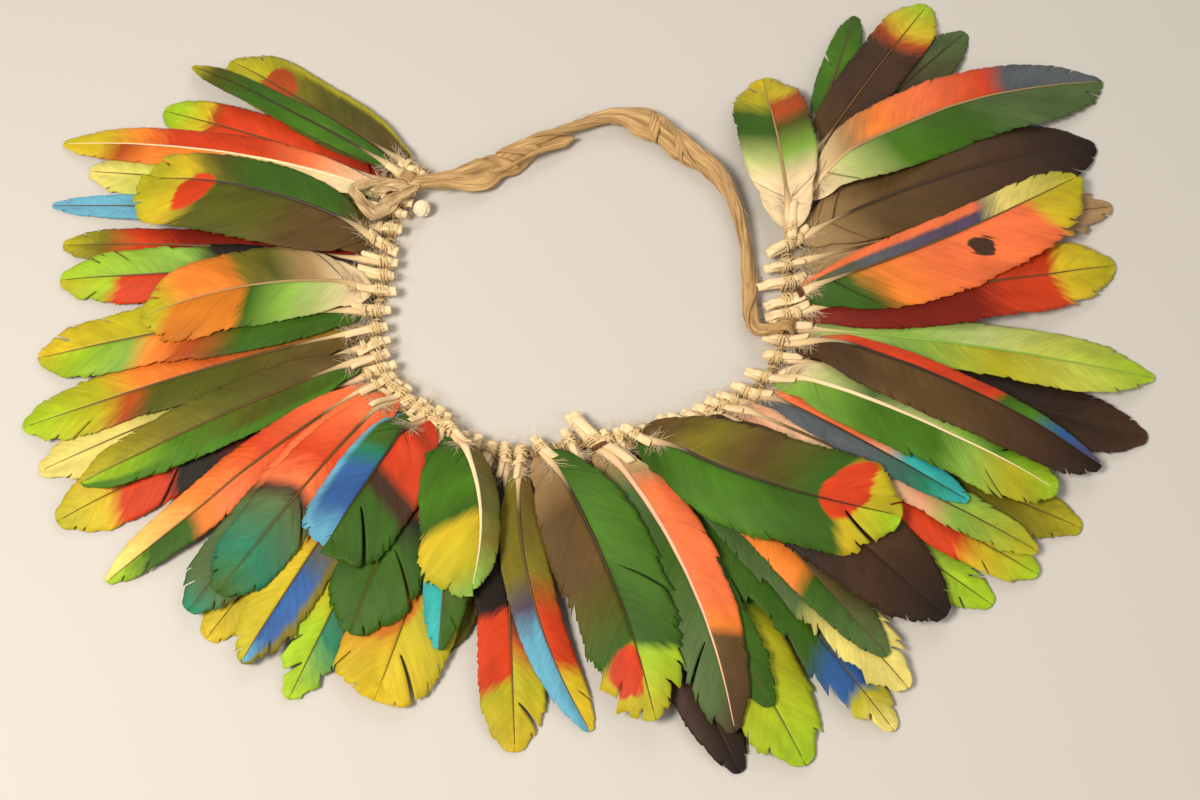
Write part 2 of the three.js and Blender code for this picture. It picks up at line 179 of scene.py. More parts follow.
P = Pigment
PLUMES: tuple[Plume, ...] = (
    both(1, "umber 0, moss 42, olive 62, citron 80, citron 100", spot="rust 72 -5 9 62",
         right_rim="citron 66"),
    both(2, "leaf 0, emerald 35, leaf 70, moss 88, citron 100", shaft=P.DARK_HORN),
    both(3, "maroon 0, red 40, red 73, rust 77, gold 81, lime 94"),
    Plume(4, "pale_green 0, cream 12, straw 36, orange 54, orange 70, rust 79, gold 88",
          "cream 0, coral 22, red 36, red 64, orange 74, gold 86, citron 100", shaft=P.CREAM),
    both(5, "moss 0, olive 45, pale_lime 72, straw 100", fray=0.35),
    Plume(6, "rose_grey 0, sky 40, sky 100", "slate 0, sky 30, sky 100"),
    Plume(7, "umber 0, umber 24, moss 46, moss 72, gold 84, citron 100",
          "umber 0, leaf 16, leaf 58, moss 70, olive 78, gold 88, citron 100",
          spot="red 80 24 7 48", shaft=P.DARK_HORN),
    both(8, "maroon 0, maroon 60, red 74, olive 86, citron 100"),
    Plume(9, "soot 0, soot 44, maroon 55, red 62, red 79, lime 84, citron 100",
          "soot 0, soot 46, fresh 58, lime 100", fray=0.35),
    # Feather 10's amber, darker than orange, is partly its own colour, partly painted shade.
    Plume(10, "cream 0, pale_green 16, fresh 32, leaf 49, amber 55, amber 86, citron 95",
          "cream 0, tan 18, moss 36, olive 50, amber 55, orange 78, citron 93", shaft=P.TAN, cover=6.0),
    Plume(11, "leaf 0, leaf 34, rust 50, orange 62, fresh 70, lime 86, citron 100",
          "moss 0, olive 40, citron 64, gold 100", fray=0.4),
    Plume(12, "umber 0, moss 40, moss 60, rust 68, citron 77, lime 100",
          "olive 0, rust 42, orange 62, citron 75, lime 100", fray=0.4),
    both(13, "moss 0, olive 50, straw 72, straw 100", fray=0.4),
    Plume(14, "leaf 0, moss 40, emerald 66, lime 100", "umber 0, moss 45, olive 70, citron 100",
          left_rim="emerald 55", fray=0.3),
    both(15, "maroon 0, maroon 36, soot 50, soot 61, red 66, red 79, gold 85, citron 100", splits="L70",
         fray=0.3),
    Plume(16, "coral 0, red 28, coral 54, orange 64, leaf 70, leaf 84, lime 96",
          "coral 0, red 38, orange 64, straw 92"),
    both(17, "coral 0, coral 45, umber 51, sage 58, sage 88, teal 100"),
    both(18, "coral 0, red 34, coral 47, brown 53, sage 60, teal 80, leaf 100", splits="L66", cover=6.5,
         fold=(15.0, -2.0)),
    both(19, "maroon 0, red 50, citron 66, gold 100", fray=0.4),
    Plume(20, "leaf 0, olive 50, blue 66, blue 90, sky 100", "moss 0, red 42, gold 60, citron 100",
          left_rim="olive 62", fray=0.5),
    Plume(21, "red 0, red 37, brown 45, brown 53, leaf 61, leaf 100",
          "leaf 0, leaf 24, teal 32, blue 48, blue 76, sky 100", right_rim="sky 70",
          shaft=P.DARK_HORN, splits="L82", cover=7.0),
    Plume(22, "leaf 0, sage 50, teal 78, lime 96", "moss 0, red 48, gold 60, lime 76, lime 100",
          fray=0.9, splits="R86 R93"),
    both(23, "maroon 0, red 26, soot 42, leaf 58, leaf 92", splits="L75 R70"),
    Plume(24, "umber 0, moss 50, olive 70, fresh 96",
          "leaf 0, emerald 30, leaf 47, gold 55, citron 86, fresh 100",
          shaft=P.CREAM, ridge=1.2, splits="R62", cover=5.5, fold=(11.0, 3.0)),
    Plume(25, "brown 0, moss 45, leaf 84", "leaf 0, teal 30, turquoise 44, turquoise 100"),
    # Feather 26: the amber spot is its own colour; the amber over its right vane is partly its own colour,
    # partly painted shade.
    Plume(26, "moss 0, olive 44, citron 64, gold 100", "olive 0, amber 44, amber 68, gold 90, gold 100",
          spot="amber 66 -40 15 58", fray=0.3, splits="L88"),
    both(27, "umber 0, olive 60, moss 100"),
    Plume(28, "soot 0, brown 56, rust 64, citron 76, gold 100",
          "soot 0, soot 50, red 54, red 75, citron 79, gold 100",
          fray=0.25, splits="L90"),
    Plume(29, "umber 0, olive 40, red 56, red 73, gold 80, gold 100",
          "olive 0, olive 40, violet 52, sky 64, sky 100"),
    Plume(30, "leaf 0, emerald 28, leaf 68, leaf 75, lime 79, citron 100",
          "tan 0, umber 20, umber 44, moss 58, leaf 73, gold 79, citron 100",
          spot="red 82 -42 9 46", shaft=P.DARK_HORN, fray=0.6, splits="L63", cover=6.5),
    both(31, "brown 0, brown 70, soot 100", shaft=P.DARK_HORN),
    Plume(32, "cream 0, tan 10, coral 18, coral 60, orange 68, umber 72, brown 100",
          "tan 0, sage 16, leaf 40, sage 70, sage 88, brown 100",
          shaft=P.ROSE_HORN, ridge=1.3, stub=1.55, fray=0.4, splits="R82", cover=5.0, fold=(19.0, 4.5)),
    both(33, "brown 0, sage 40, leaf 68, leaf 100", fray=0.4, stub=0.7),
    both(34, "leaf 0, leaf 52, citron 62, lime 100", fray=0.25, stub=0.7),
    Plume(35, "umber 0, olive 20, umber 38, moss 52, leaf 66, leaf 70, gold 76, citron 100",
          "leaf 0, emerald 28, leaf 64, leaf 74, gold 79, lime 100",
          spot="red 78 28 9 74", shaft=P.DARK_HORN, fray=0.25, splits="R88", cover=6.5),
    both(36, "leaf 0, leaf 69, blue 77, blue 85, citron 89, straw 100", fray=0.9, stub=0.7),
    both(37, "leaf 0, sage 60, straw 72, straw 100", fray=0.8, stub=0.7),
    Plume(38, "brown 0, umber 60, sage 100", "tan 0, orange 16, orange 60, leaf 66, sage 100"),
    Plume(39, "brown 0, umber 46, brown 76, soot 100", "brown 0, soot 32, brown 72, soot 100",
          shaft=P.DARK_HORN),
    both(40, "sage 0, sage 66, lime 90", left_rim="lime 75", right_rim="lime 75", fray=0.4),
    both(41, "maroon 0, red 44, red 74, gold 82, lime 100", fray=0.4),
    both(42, "pink 0, cream 40, pink 62, fresh 72, citron 100", fray=0.6),
    both(43, "maroon 0, red 46, moss 60, olive 80, citron 100", fray=0.5),
    Plume(44, "coral 0, coral 44, pink 58, turquoise 68, turquoise 100",
          "slate 0, slate 50, teal 80, turquoise 100",
          shaft=P.DARK_HORN),
    Plume(45, "cream 0, pale_green 14, sage 30, pale_green 48, fresh 64, emerald 78, lime 100",
          "fresh 0, emerald 30, emerald 54, fresh 66, citron 84, lime 100",
          shaft=P.CREAM, ridge=1.1, fray=0.35, splits="L86", cover=5.5),
    both(46, "brown 0, soot 60, brown 100", shaft=P.DARK_HORN),
    Plume(47, "tan 0, red 14, red 61, leaf 65, emerald 76, blue 86, violet 100",
          "brown 0, umber 38, brown 78, soot 100", shaft=P.DARK_HORN),
    Plume(48, "pale_green 0, fresh 28, pale_green 50, pale_lime 70, lime 100",
          "pale_green 0, fresh 30, citron 54, pale_lime 78, lime 100", shaft=P.FRESH),
    both(49, "maroon 0, maroon 50, red 62, red 77, gold 82, citron 100", fray=0.3),
    Plume(50, "moss 0, slate 22, violet 42, violet 60, straw 70, citron 100",
          "leaf 0, leaf 12, orange 22, coral 40, coral 58, coral 76, gold 81, citron 100",
          spot="brown 54 -42 4 22", left_rim="coral 40 64", fray=0.4),
    both(51, "tan 0, tan 16, red 30, red 70, leaf 77, leaf 100"),
    both(52, "tan 0, rose_grey 60, tan 100", fray=0.7),
    Plume(53, "tan 0, umber 26, brown 70, soot 100", "tan 0, umber 20, brown 62, soot 100",
          shaft=P.DARK_HORN),
    Plume(54, "cream 0, cream 16, pale_green 30, leaf 50, leaf 66, citron 78, gold 100",
          "cream 0, cream 16, fresh 34, moss 54, rust 66, rust 75, gold 82, citron 100",
          shaft=P.TAN, cover=10.0),
    Plume(55, "cream 0, tan 12, orange 24, coral 40, red 64, slate 70, slate 100",
          "cream 0, pale_green 10, emerald 26, leaf 50, sage 66, sage 100",
          shaft=P.TAN, ridge=1.0, cover=5.0),
    both(56, "sage 0, brown 50, sage 100", shaft=P.DARK_HORN),
    both(57, "umber 0, brown 30, brown 64, rust 72, gold 80, lime 100"),
    both(58, "leaf 0, emerald 60, leaf 100", splits="L60"),
)


class NodeSketch:
    """A material's node tree, drawn node by node."""

    def __init__(self, name: str) -> None:
        """Starts an empty tree with a Principled shader and an output.

        Args:
            name: the material's name.
        """
        self.material = bpy.data.materials.new(name)
        self.material.use_nodes = True
        self.tree = self.material.node_tree
        self.tree.nodes.clear()
        self.shader = self.node("BsdfPrincipled")
        output = self.node("OutputMaterial")
        self.link(self.shader.outputs["BSDF"], output.inputs["Surface"])

    def node(self, kind: str, **settings: object) -> bpy.types.Node:
        """Adds a node.

        Args:
            kind: the node's type, without the ShaderNode prefix.
            settings: the node's own properties.

        Returns:
            The new node.
        """
        made = self.tree.nodes.new("ShaderNode" + kind)
        for name, value in settings.items():
            setattr(made, name, value)
        return made

    def link(self, source: Socket, target: Socket) -> None:
        """Joins two sockets."""
        self.tree.links.new(source, target)

    def feed(self, target: Socket, value: Value) -> None:
        """Links a socket to another, or sets it to a plain value.

        Args:
            target: the socket that is fed.
            value: another socket, a number or a colour.
        """
        if isinstance(value, Socket):
            self.link(value, target)
        else:
            target.default_value = value

    def maths(self, operation: str, *values: Value, clamp: bool = False) -> Socket:
        """A Math node of one operation on one, two or three values.

        Args:
            operation: the node's operation.
            values: sockets or numbers.
            clamp: whether the result is kept between 0 and 1.

        Returns:
            The result's socket.
        """
        made = self.node("Math", operation=operation, use_clamp=clamp)
        for target, value in zip(made.inputs, values):
            self.feed(target, value)
        return made.outputs[0]

    def reading(self, name: str) -> Socket:
        """The value of one of the mesh's own attributes."""
        return self.node("Attribute", attribute_name=name).outputs["Fac"]

    def ramp(self, at: Socket, stops: list[tuple[float, Colour]]) -> Socket:
        """A colour that changes with a value.

        Args:
            at: the value, from 0 to 1.
            stops: places with their colours.

        Returns:
            The colour's socket.
        """
        made = self.node("ValToRGB")
        elements = made.color_ramp.elements
        while len(elements) < len(stops):
            elements.new(1.0)
        for element, (place, colour) in zip(elements, stops):
            element.position = place
            element.color = colour
        self.link(at, made.inputs["Fac"])
        return made.outputs["Color"]

    def blend(self, share: Value, first: Value, second: Value, mode: str = "MIX") -> Socket:
        """Two colours mixed.

        Args:
            share: share of the second colour.
            first: the colour below.
            second: the colour above.
            mode: how they mix.

        Returns:
            The colour's socket.
        """
        made = self.node("Mix", data_type="RGBA", blend_type=mode)
        self.feed(made.inputs["Factor"], share)
        self.feed(made.inputs[6], first)
        self.feed(made.inputs[7], second)
        return made.outputs[2]

    def noise(self, vector: Socket, scale: float, detail: float = 2.0) -> Socket:
        """Noise from 0 to 1.

        Args:
            vector: the places where it is read.
            scale: how many patches it has along a length of 1.
            detail: how many finer layers it has.

        Returns:
            The noise's socket.
        """
        made = self.node("TexNoise")
        self.link(vector, made.inputs["Vector"])
        made.inputs["Scale"].default_value = scale
        made.inputs["Detail"].default_value = detail
        return made.outputs["Fac"]

    def vector(self, x: Value, y: Value, z: Value) -> Socket:
        """A vector put together from three values.

        Args:
            x: its first value.
            y: its second.
            z: its third.

        Returns:
            The vector's socket.
        """
        made = self.node("CombineXYZ")
        for target, value in zip(made.inputs, (x, y, z)):
            self.feed(target, value)
        return made.outputs[0]

    def relief(self, height: Socket, depth: float) -> None:
        """Roughens the surface by a height.

        Args:
            height: the height, from 0 to 1.
            depth: what a height of 1 stands for, in metres.
        """
        made = self.node("Bump")
        made.inputs["Strength"].default_value = 1.0
        made.inputs["Distance"].default_value = depth
        self.link(height, made.inputs["Height"])
        self.link(made.outputs["Normal"], self.shader.inputs["Normal"])

    def gloss(self, roughness: float, sheen: float = 0.0, specular: float = 0.3) -> None:
        """Sets the shader's roughness, sheen and reflection.

        Args:
            roughness: from 0, mirror-like, to 1.
            sheen: weight of the soft glow at grazing angles.
            specular: level of its reflection.
        """
        self.shader.inputs["Roughness"].default_value = roughness
        self.shader.inputs["Specular IOR Level"].default_value = specular
        self.shader.inputs["Sheen Weight"].default_value = sheen
        self.shader.inputs["Sheen Roughness"].default_value = 0.4


def stops_of(colours: str) -> list[tuple[float, Colour]]:
    """Ramp stops from a list of pigments with their places in hundredths.

    Args:
        colours: for example "leaf 0, red 60, gold 95".

    Returns:
        Places from 0 to 1 with their linear colours.
    """
    pairs = [entry.split() for entry in colours.split(",")]
    return [(float(place) / 100.0, Pigment[name.upper()].linear) for name, place in pairs]


@dataclass(frozen=True)
class VaneFinish:
    """Barbed vane: pigments along the barbs, fine lines between them, and a silky sheen."""

    plume: Plume
    wander: float = 0.05
    rim_blend: float = 0.25
    rim_fade: float = 0.06
    lines: float = 2.0
    line_depth: float = 0.00002
    roughness: float = 0.5
    sheen: float = 0.03
    specular: float = 0.16

    def ease(self, sketch: NodeSketch, value: Socket, start: float, end: float) -> Socket:
        """A share that rises smoothly from 0 to 1 while a value goes from a start to an end.

        Args:
            sketch: the tree that is drawn.
            value: the value.
            start: where the share is 0.
            end: where it is 1.

        Returns:
            The share's socket.
        """
        made = sketch.node("MapRange", interpolation_type="SMOOTHSTEP")
        sketch.link(value, made.inputs["Value"])
        made.inputs["From Min"].default_value = start
        made.inputs["From Max"].default_value = end
        return made.outputs["Result"]

    def rim(self, sketch: NodeSketch, rim: str, colour: Socket, along: Socket, across: Socket) -> Socket:
        """Lays a rim's pigment over a vane's colour.

        Args:
            sketch: the tree that is drawn.
            rim: pigment, place across the vane, and the place along it where the rim ends.
            colour: the vane's colour.
            along: place along the vane, from 0 to 1.
            across: distance from the shaft, from 0 to 1.

        Returns:
            The colour with its rim.
        """
        name, *places = rim.split()
        start = float(places[0]) / 100.0
        share = self.ease(sketch, across, start, min(1.0, start + self.rim_blend))
        if len(places) > 1:
            end = float(places[1]) / 100.0
            share = sketch.maths("MULTIPLY", share, self.ease(sketch, along, end, end - self.rim_fade))
        return sketch.blend(share, colour, Pigment[name.upper()].linear)

    def spotted(self, sketch: NodeSketch, colour: Socket, along: Socket, across: Socket) -> Socket:
        """Lays a round spot of pigment over the vanes' colour.

        Args:
            sketch: the tree that is drawn.
            colour: the vanes' colour.
            along: place along the vanes, from 0 to 1.
            across: place across them, left positive.

        Returns:
            The colour with its spot.
        """
        name, *numbers = self.plume.spot.split()
        s, v, long, wide = (float(number) / 100.0 for number in numbers)
        parts = []
        for reading, middle, half in ((along, s, long), (across, v, wide)):
            away = sketch.maths("DIVIDE", sketch.maths("SUBTRACT", reading, middle), half)
            parts.append(sketch.maths("POWER", sketch.maths("ABSOLUTE", away), 2.0))
        share = self.ease(sketch, sketch.maths("ADD", *parts), 1.2, 0.75)
        return sketch.blend(share, colour, Pigment[name.upper()].linear)

    def make(self) -> bpy.types.Material:
        """Makes the material of one feather's vanes.

        Returns:
            The material.
        """
        sketch = NodeSketch(f"{self.plume.node}_vane")
        along, across, barb = (sketch.reading(name) for name in ("along", "across", "barb"))
        width = sketch.maths("ABSOLUTE", across)
        strands = sketch.vector(sketch.maths("MULTIPLY", barb, 0.7), sketch.maths("MULTIPLY", across, 1.6),
                                float(self.plume.number))
        streak = sketch.noise(strands, 1.0, 3.0)
        patches = sketch.vector(sketch.maths("MULTIPLY", barb, 0.08), sketch.maths("MULTIPLY", across, 1.4),
                                float(self.plume.number) + 0.5)
        patch = sketch.noise(patches, 1.0, 2.0)
        drift = sketch.maths("MULTIPLY_ADD", sketch.maths("ADD", streak, patch), self.wander, -self.wander)
        place = sketch.maths("ADD", along, drift, clamp=True)
        left = sketch.ramp(place, stops_of(self.plume.left))
        right = sketch.ramp(place, stops_of(self.plume.right))
        if self.plume.left_rim:
            left = self.rim(sketch, self.plume.left_rim, left, place, width)
        if self.plume.right_rim:
            right = self.rim(sketch, self.plume.right_rim, right, place, width)
        colour = sketch.blend(sketch.maths("GREATER_THAN", across, 0.0), right, left)
        if self.plume.spot:
            colour = self.spotted(sketch, colour, place, across)
        wave = sketch.maths("SINE", sketch.maths("MULTIPLY", barb, 2.0 * math.pi * self.lines))
        fine = sketch.maths("MULTIPLY_ADD", wave, 0.07, 0.93)
        tone = sketch.maths("MULTIPLY", fine, sketch.maths("MULTIPLY_ADD", streak, 0.5, 0.72))
        deep = sketch.maths("MULTIPLY", tone, sketch.maths("MULTIPLY_ADD", patch, 0.8, 0.58))
        shaded = sketch.blend(1.0, colour, sketch.vector(deep, deep, deep), "MULTIPLY")
        sketch.link(shaded, sketch.shader.inputs["Base Color"])
        sketch.relief(sketch.maths("ADD", wave, sketch.maths("MULTIPLY", streak, 2.5)), self.line_depth)
        sketch.gloss(self.roughness, self.sheen, self.specular)
        return sketch.material


@dataclass(frozen=True)
class ShaftFinish:
    """Shaft: pale horn at the quill, and its own colour along the vanes."""

    pigment: Pigment
    run: float = 9.0
    streaks: float = 3.0
    horn_until: float = 0.12
    colour_from: float = 0.26
    roughness: float = 0.38
    grain: float = 0.00004

    def make(self) -> bpy.types.Material:
        """Makes the material of the shafts of one colour.

        Returns:
            The material.
        """
        sketch = NodeSketch(f"{self.pigment.name.lower()}_shaft")
        along, across, barb = (sketch.reading(name) for name in ("along", "across", "barb"))
        grain = sketch.vector(sketch.maths("MULTIPLY", along, self.run),
                              sketch.maths("MULTIPLY", across, self.streaks), barb)
        streak = sketch.noise(grain, 1.0, 3.0)
        place = sketch.maths("ADD", along, sketch.maths("MULTIPLY_ADD", streak, 0.06, -0.03), clamp=True)
        run = sketch.ramp(place, [(0.0, P.CREAM.linear), (self.horn_until, P.HORN.linear),
                                  (self.colour_from, self.pigment.linear)])
        tone = sketch.maths("MULTIPLY_ADD", streak, 0.6, 0.66)
        shaded = sketch.blend(1.0, run, sketch.vector(tone, tone, tone), "MULTIPLY")
        sketch.link(shaded, sketch.shader.inputs["Base Color"])
        sketch.relief(streak, self.grain)
        sketch.gloss(self.roughness)
        return sketch.material


@dataclass(frozen=True)
class StrandFinish:
    """Horn, thread, fibre, bark or down: streaked along its run, with fine grooves that hold the dark
    pigment.
    """

    name: str
    light: Pigment
    dark: Pigment
    streaks: float
    groove: float
    roughness: float
    sheen: float = 0.0
    run: float = 6.0

    def make(self) -> bpy.types.Material:
        """Makes the material.

        Returns:
            The material.
        """
        sketch = NodeSketch(self.name)
        along, across, barb = (sketch.reading(name) for name in ("along", "across", "barb"))
        grain = sketch.vector(sketch.maths("MULTIPLY", along, self.run),
                              sketch.maths("MULTIPLY", across, self.streaks), barb)
        streak = sketch.noise(grain, 1.0, 4.0)
        # The dark pigment goes where the streaks are low, in the grooves of the relief; with the shaded
        # bark pigment this is painted shade.
        share = sketch.maths("MULTIPLY_ADD", streak, 2.2, -0.6, clamp=True)
        colour = sketch.blend(share, self.dark.linear, self.light.linear)
        sketch.link(colour, sketch.shader.inputs["Base Color"])
        sketch.relief(streak, self.groove)
        sketch.gloss(self.roughness, self.sheen)
        return sketch.material


STRANDS: tuple[StrandFinish, ...] = (
    StrandFinish("pale_down", P.DOWN, P.TAN, streaks=1.0, groove=0.00002, roughness=0.9, sheen=0.3),
    StrandFinish("cord_fibre", P.FIBRE, P.DEEP_BARK, streaks=5.0, groove=0.0002, roughness=0.85, sheen=0.1),
    StrandFinish("lashing_thread", P.THREAD, P.FIBRE, 4.0, 0.0001, 0.8, 0.1, run=2.0),
    StrandFinish("dark_thread", P.DARK_THREAD, P.BROWN, 4.0, 0.0001, 0.8, 0.1, run=2.0),
    StrandFinish("knot_thread", P.PALE_THREAD, P.THREAD, 4.0, 0.0001, 0.8, 0.1, run=2.0),
    StrandFinish("papery_bark", P.PALE_BARK, P.DEEP_BARK, 5.0, 0.0002, 0.8, 0.05, run=1.2),
    StrandFinish("bark_fibre", P.BARK, P.DEEP_BARK, 12.0, 0.0004, 0.7, 0.05, run=0.5),
)


class Shell:
    """Vertices and faces of one piece, collected part by part."""

    READINGS = ("along", "across", "barb")

    def __init__(self) -> None:
        """Starts with nothing."""
        self.points: list[Array] = []
        self.faces: list[tuple[int, ...]] = []
        self.slots: list[int] = []
        self.readings: dict[str, list[Array]] = {name: [] for name in self.READINGS}
        self.count = 0

    def add(self, points: Array, faces: list, slot: int, readings: tuple) -> None:
        """Adds one closed body.

        Args:
            points: its corners, in millimetres.
            faces: its faces, counted from its own first corner.
            slot: number of its material.
            readings: its values of along, across and barb, one for each corner.
        """
        self.points.append(points)
        self.faces.extend(tuple(int(i) + self.count for i in face) for face in faces)
        self.slots.extend([slot] * len(faces))
        for name, values in zip(self.READINGS, readings):
            self.readings[name].append(np.broadcast_to(values, len(points)))
        self.count += len(points)

    def build(self, name: str, materials: list[bpy.types.Material]) -> bpy.types.Object:
        """Makes the object.

        Args:
            name: its name.
            materials: its materials, in the order of the slots.

        Returns:
            The new object, linked to the scene.
        """
        mesh = bpy.data.meshes.new(name)
        mesh.from_pydata((np.concatenate(self.points) * MM).tolist(), [], self.faces)
        for material in materials:
            mesh.materials.append(material)
        mesh.polygons.foreach_set("material_index", self.slots)
        for reading, values in self.readings.items():
            layer = mesh.attributes.new(reading, "FLOAT", "POINT")
            layer.data.foreach_set("value", np.concatenate(values).astype(np.float32))
        mesh.shade_smooth()
        made = bpy.data.objects.new(name, mesh)
        bpy.context.scene.collection.objects.link(made)
        return made


def settle(piece: bpy.types.Object, slot: str, *nodes: str) -> bpy.types.Object:
    """Puts a piece on the part's body, hides the CAD nodes that it stands for and logs its face count.

    Args:
        piece: the piece.
        slot: the record's material slot; not used.
        nodes: the CAD nodes that it stands for.

    Returns:
        The same piece.
    """
    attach(piece, BODY)
    if nodes:
        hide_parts(*nodes)
    LOG.info("%s: %d faces", piece.name, len(piece.data.polygons))
    return piece


def run_along(line: Array) -> Array:
    """Distance of each point of a line from its start."""
    return np.concatenate(((0.0,), np.cumsum(np.linalg.norm(np.diff(line, axis=0), axis=1))))


def unit(vectors: Array) -> Array:
    """Vectors of length 1 along the given ones."""
    return vectors / np.maximum(np.linalg.norm(vectors, axis=-1, keepdims=True), 1e-9)


def loft_rings(node: str, corners: int) -> Array:
    """Reads a lofted solid's sections back from its mesh.

    Args:
        node: the CAD node.
        corners: corners in each section.

    Returns:
        Sections in order from one end, each with its corners, in millimetres.
    """
    held = frame["nodes"][node]
    mesh = held.data
    raw = np.empty(3 * len(mesh.vertices))
    mesh.vertices.foreach_get("co", raw)
    turn = np.array(held.matrix_world)
    placed = (raw.reshape(-1, 3) @ turn[:3, :3].T + turn[:3, 3]) / MM
    points, index = np.unique(placed.round(3), axis=0, return_inverse=True)
    index = index.reshape(-1)
    near: list[set[int]] = [set() for _ in points]
    for face in mesh.polygons:
        ends = [int(index[v]) for v in face.vertices]
        for a, b in zip(ends, ends[1:] + ends[:1]):
            near[a].add(b)
            near[b].add(a)
    ends = [i for i, around in enumerate(near) if len(around) != 6]
    first = [i for i in ends if np.linalg.norm(points[i] - points[ends[0]]) < 20.0]
    rings = [first]
    seen = set(first)
    while True:
        beyond = {j for i in rings[-1] for j in near[i]} - seen
        if not beyond:
            break
        seen |= beyond
        rings.append(sorted(beyond))
    return np.array([points[ring] for ring in rings if len(ring) == corners])


def smoothed(places: Array, values: Array, at: Array, reach: float) -> Array:
    """A smooth curve near a row of values.

    Args:
        places: where the values stand, rising.
        values: the values.
        at: where the curve is read.
        reach: how far along it is evened out.

    Returns:
        The curve's values.
    """
    offsets = np.linspace(-2.0, 2.0, 17)
    weights = np.exp(-offsets ** 2)
    spread = at[..., None] + offsets * reach
    return (np.interp(spread, places, values) * weights).sum(-1) / weights.sum()


def tubes(paths: Array, radii: Array, sides: int) -> tuple[Array, list]:
    """Closed round strands along many paths at once.

    Args:
        paths: strands, each a row of points.
        radii: radius at each point.
        sides: sides of a strand.

    Returns:
        Corners and faces.
    """
    strands, steps, _ = paths.shape
    ahead = unit(np.gradient(paths, axis=1))
    start = np.where(np.abs(ahead[:, :1, 2:]) > 0.8, np.array((1.0, 0.0, 0.0)), UP)
    across = np.empty_like(paths)
    across[:, 0] = unit(np.cross(ahead[:, 0], start[:, 0]))
    for i in range(1, steps):
        carried = across[:, i - 1]
        along = (carried * ahead[:, i]).sum(-1, keepdims=True)
        across[:, i] = unit(carried - along * ahead[:, i])
    over = np.cross(ahead, across)
    turn = np.arange(sides) * (2.0 * math.pi / sides)
    ring = across[:, :, None] * np.cos(turn)[:, None] + over[:, :, None] * np.sin(turn)[:, None]
    points = (paths[:, :, None] + ring * radii[:, :, None, None]).reshape(-1, 3)
    return points, tube_faces(strands, steps, sides)


def tube_faces(strands: int, steps: int, sides: int) -> list:
    """Faces of strands whose corners run strand by strand, ring by ring.

    Args:
        strands: number of strands.
        steps: rings along each.
        sides: corners in a ring.

    Returns:
        The faces, with both ends of each strand closed.
    """
    faces: list = []
    for strand in range(strands):
        base = strand * steps * sides
        rings = base + np.arange(steps - 1)[:, None] * sides
        here = np.arange(sides)
        there = (here + 1) % sides
        quads = np.stack((rings + here, rings + there, rings + there + sides, rings + here + sides), -1)
        faces.extend(quads.reshape(-1, 4).tolist())
        faces.append((base + here[::-1]).tolist())
        faces.append((base + (steps - 1) * sides + here).tolist())
    return faces


class FeatherFrame:
    """Lie of one feather, read back from its CAD solid."""

    CORNERS = 6
    EVEN = 3.5

    def __init__(self, node: str) -> None:
        """Reads the solid's sections and sorts out root, tip, sides and shaft.

        Args:
            node: the feather's CAD node.
        """
        rings = loft_rings(node, self.CORNERS)
        cord = loft_rings("base_cord", FoundationCord.corners).mean(1)
        away = [np.linalg.norm(cord - ring.mean(0), axis=1).min() for ring in (rings[0], rings[-1])]
        if away[0] > away[1]:
            rings = rings[::-1]
        spread = rings[0] - rings[0].mean(0)
        ahead = np.linalg.svd(spread)[2][2]
        ahead = ahead * np.sign(ahead @ (rings[-1].mean(0) - rings[0].mean(0)))
        self.ahead = unit(ahead * (1.0, 1.0, 0.0))
        self.leftward = np.cross(UP, self.ahead)
        self.tie = rings[1:3].mean((0, 1))
        local = rings - self.tie
        along = (local @ self.ahead).mean(1)
        sideways = local @ self.leftward
        order = np.argsort(sideways, axis=1)
        heights = np.take_along_axis(rings[:, :, 2], order, 1)
        sideways = np.take_along_axis(sideways, order, 1)
        self.along = along
        self.middle = sideways[:, 2:4].mean(1)
        self.height = heights[:, 2:4].mean(1)
        self.reach = {Side.LEFT: sideways[:, 4:].mean(1) - self.middle,
                      Side.RIGHT: self.middle - sideways[:, :2].mean(1)}
        self.drop = {Side.LEFT: heights[:, 4:].mean(1) - self.height,
                     Side.RIGHT: heights[:, :2].mean(1) - self.height}
        self.root, self.base, self.tip = along[0], along[3], along[-1]

    def read(self, values: Array, s: Array) -> Array:
        """A row of section values as a smooth curve along the feather."""
        return smoothed(self.along, values, s, self.EVEN)

    def place(self, s: Array, sideways: Array, z: Array) -> Array:
        """Points from distances along and across the feather and heights."""
        flat = self.tie * (1.0, 1.0, 0.0)
        return flat + s[..., None] * self.ahead + sideways[..., None] * self.leftward + z[..., None] * UP


@dataclass(frozen=True)
class Slit:
    """A gap between two barbs: the barb after it, where it begins across the vane, and half its width."""

    barb: int
    start: float
    width: float


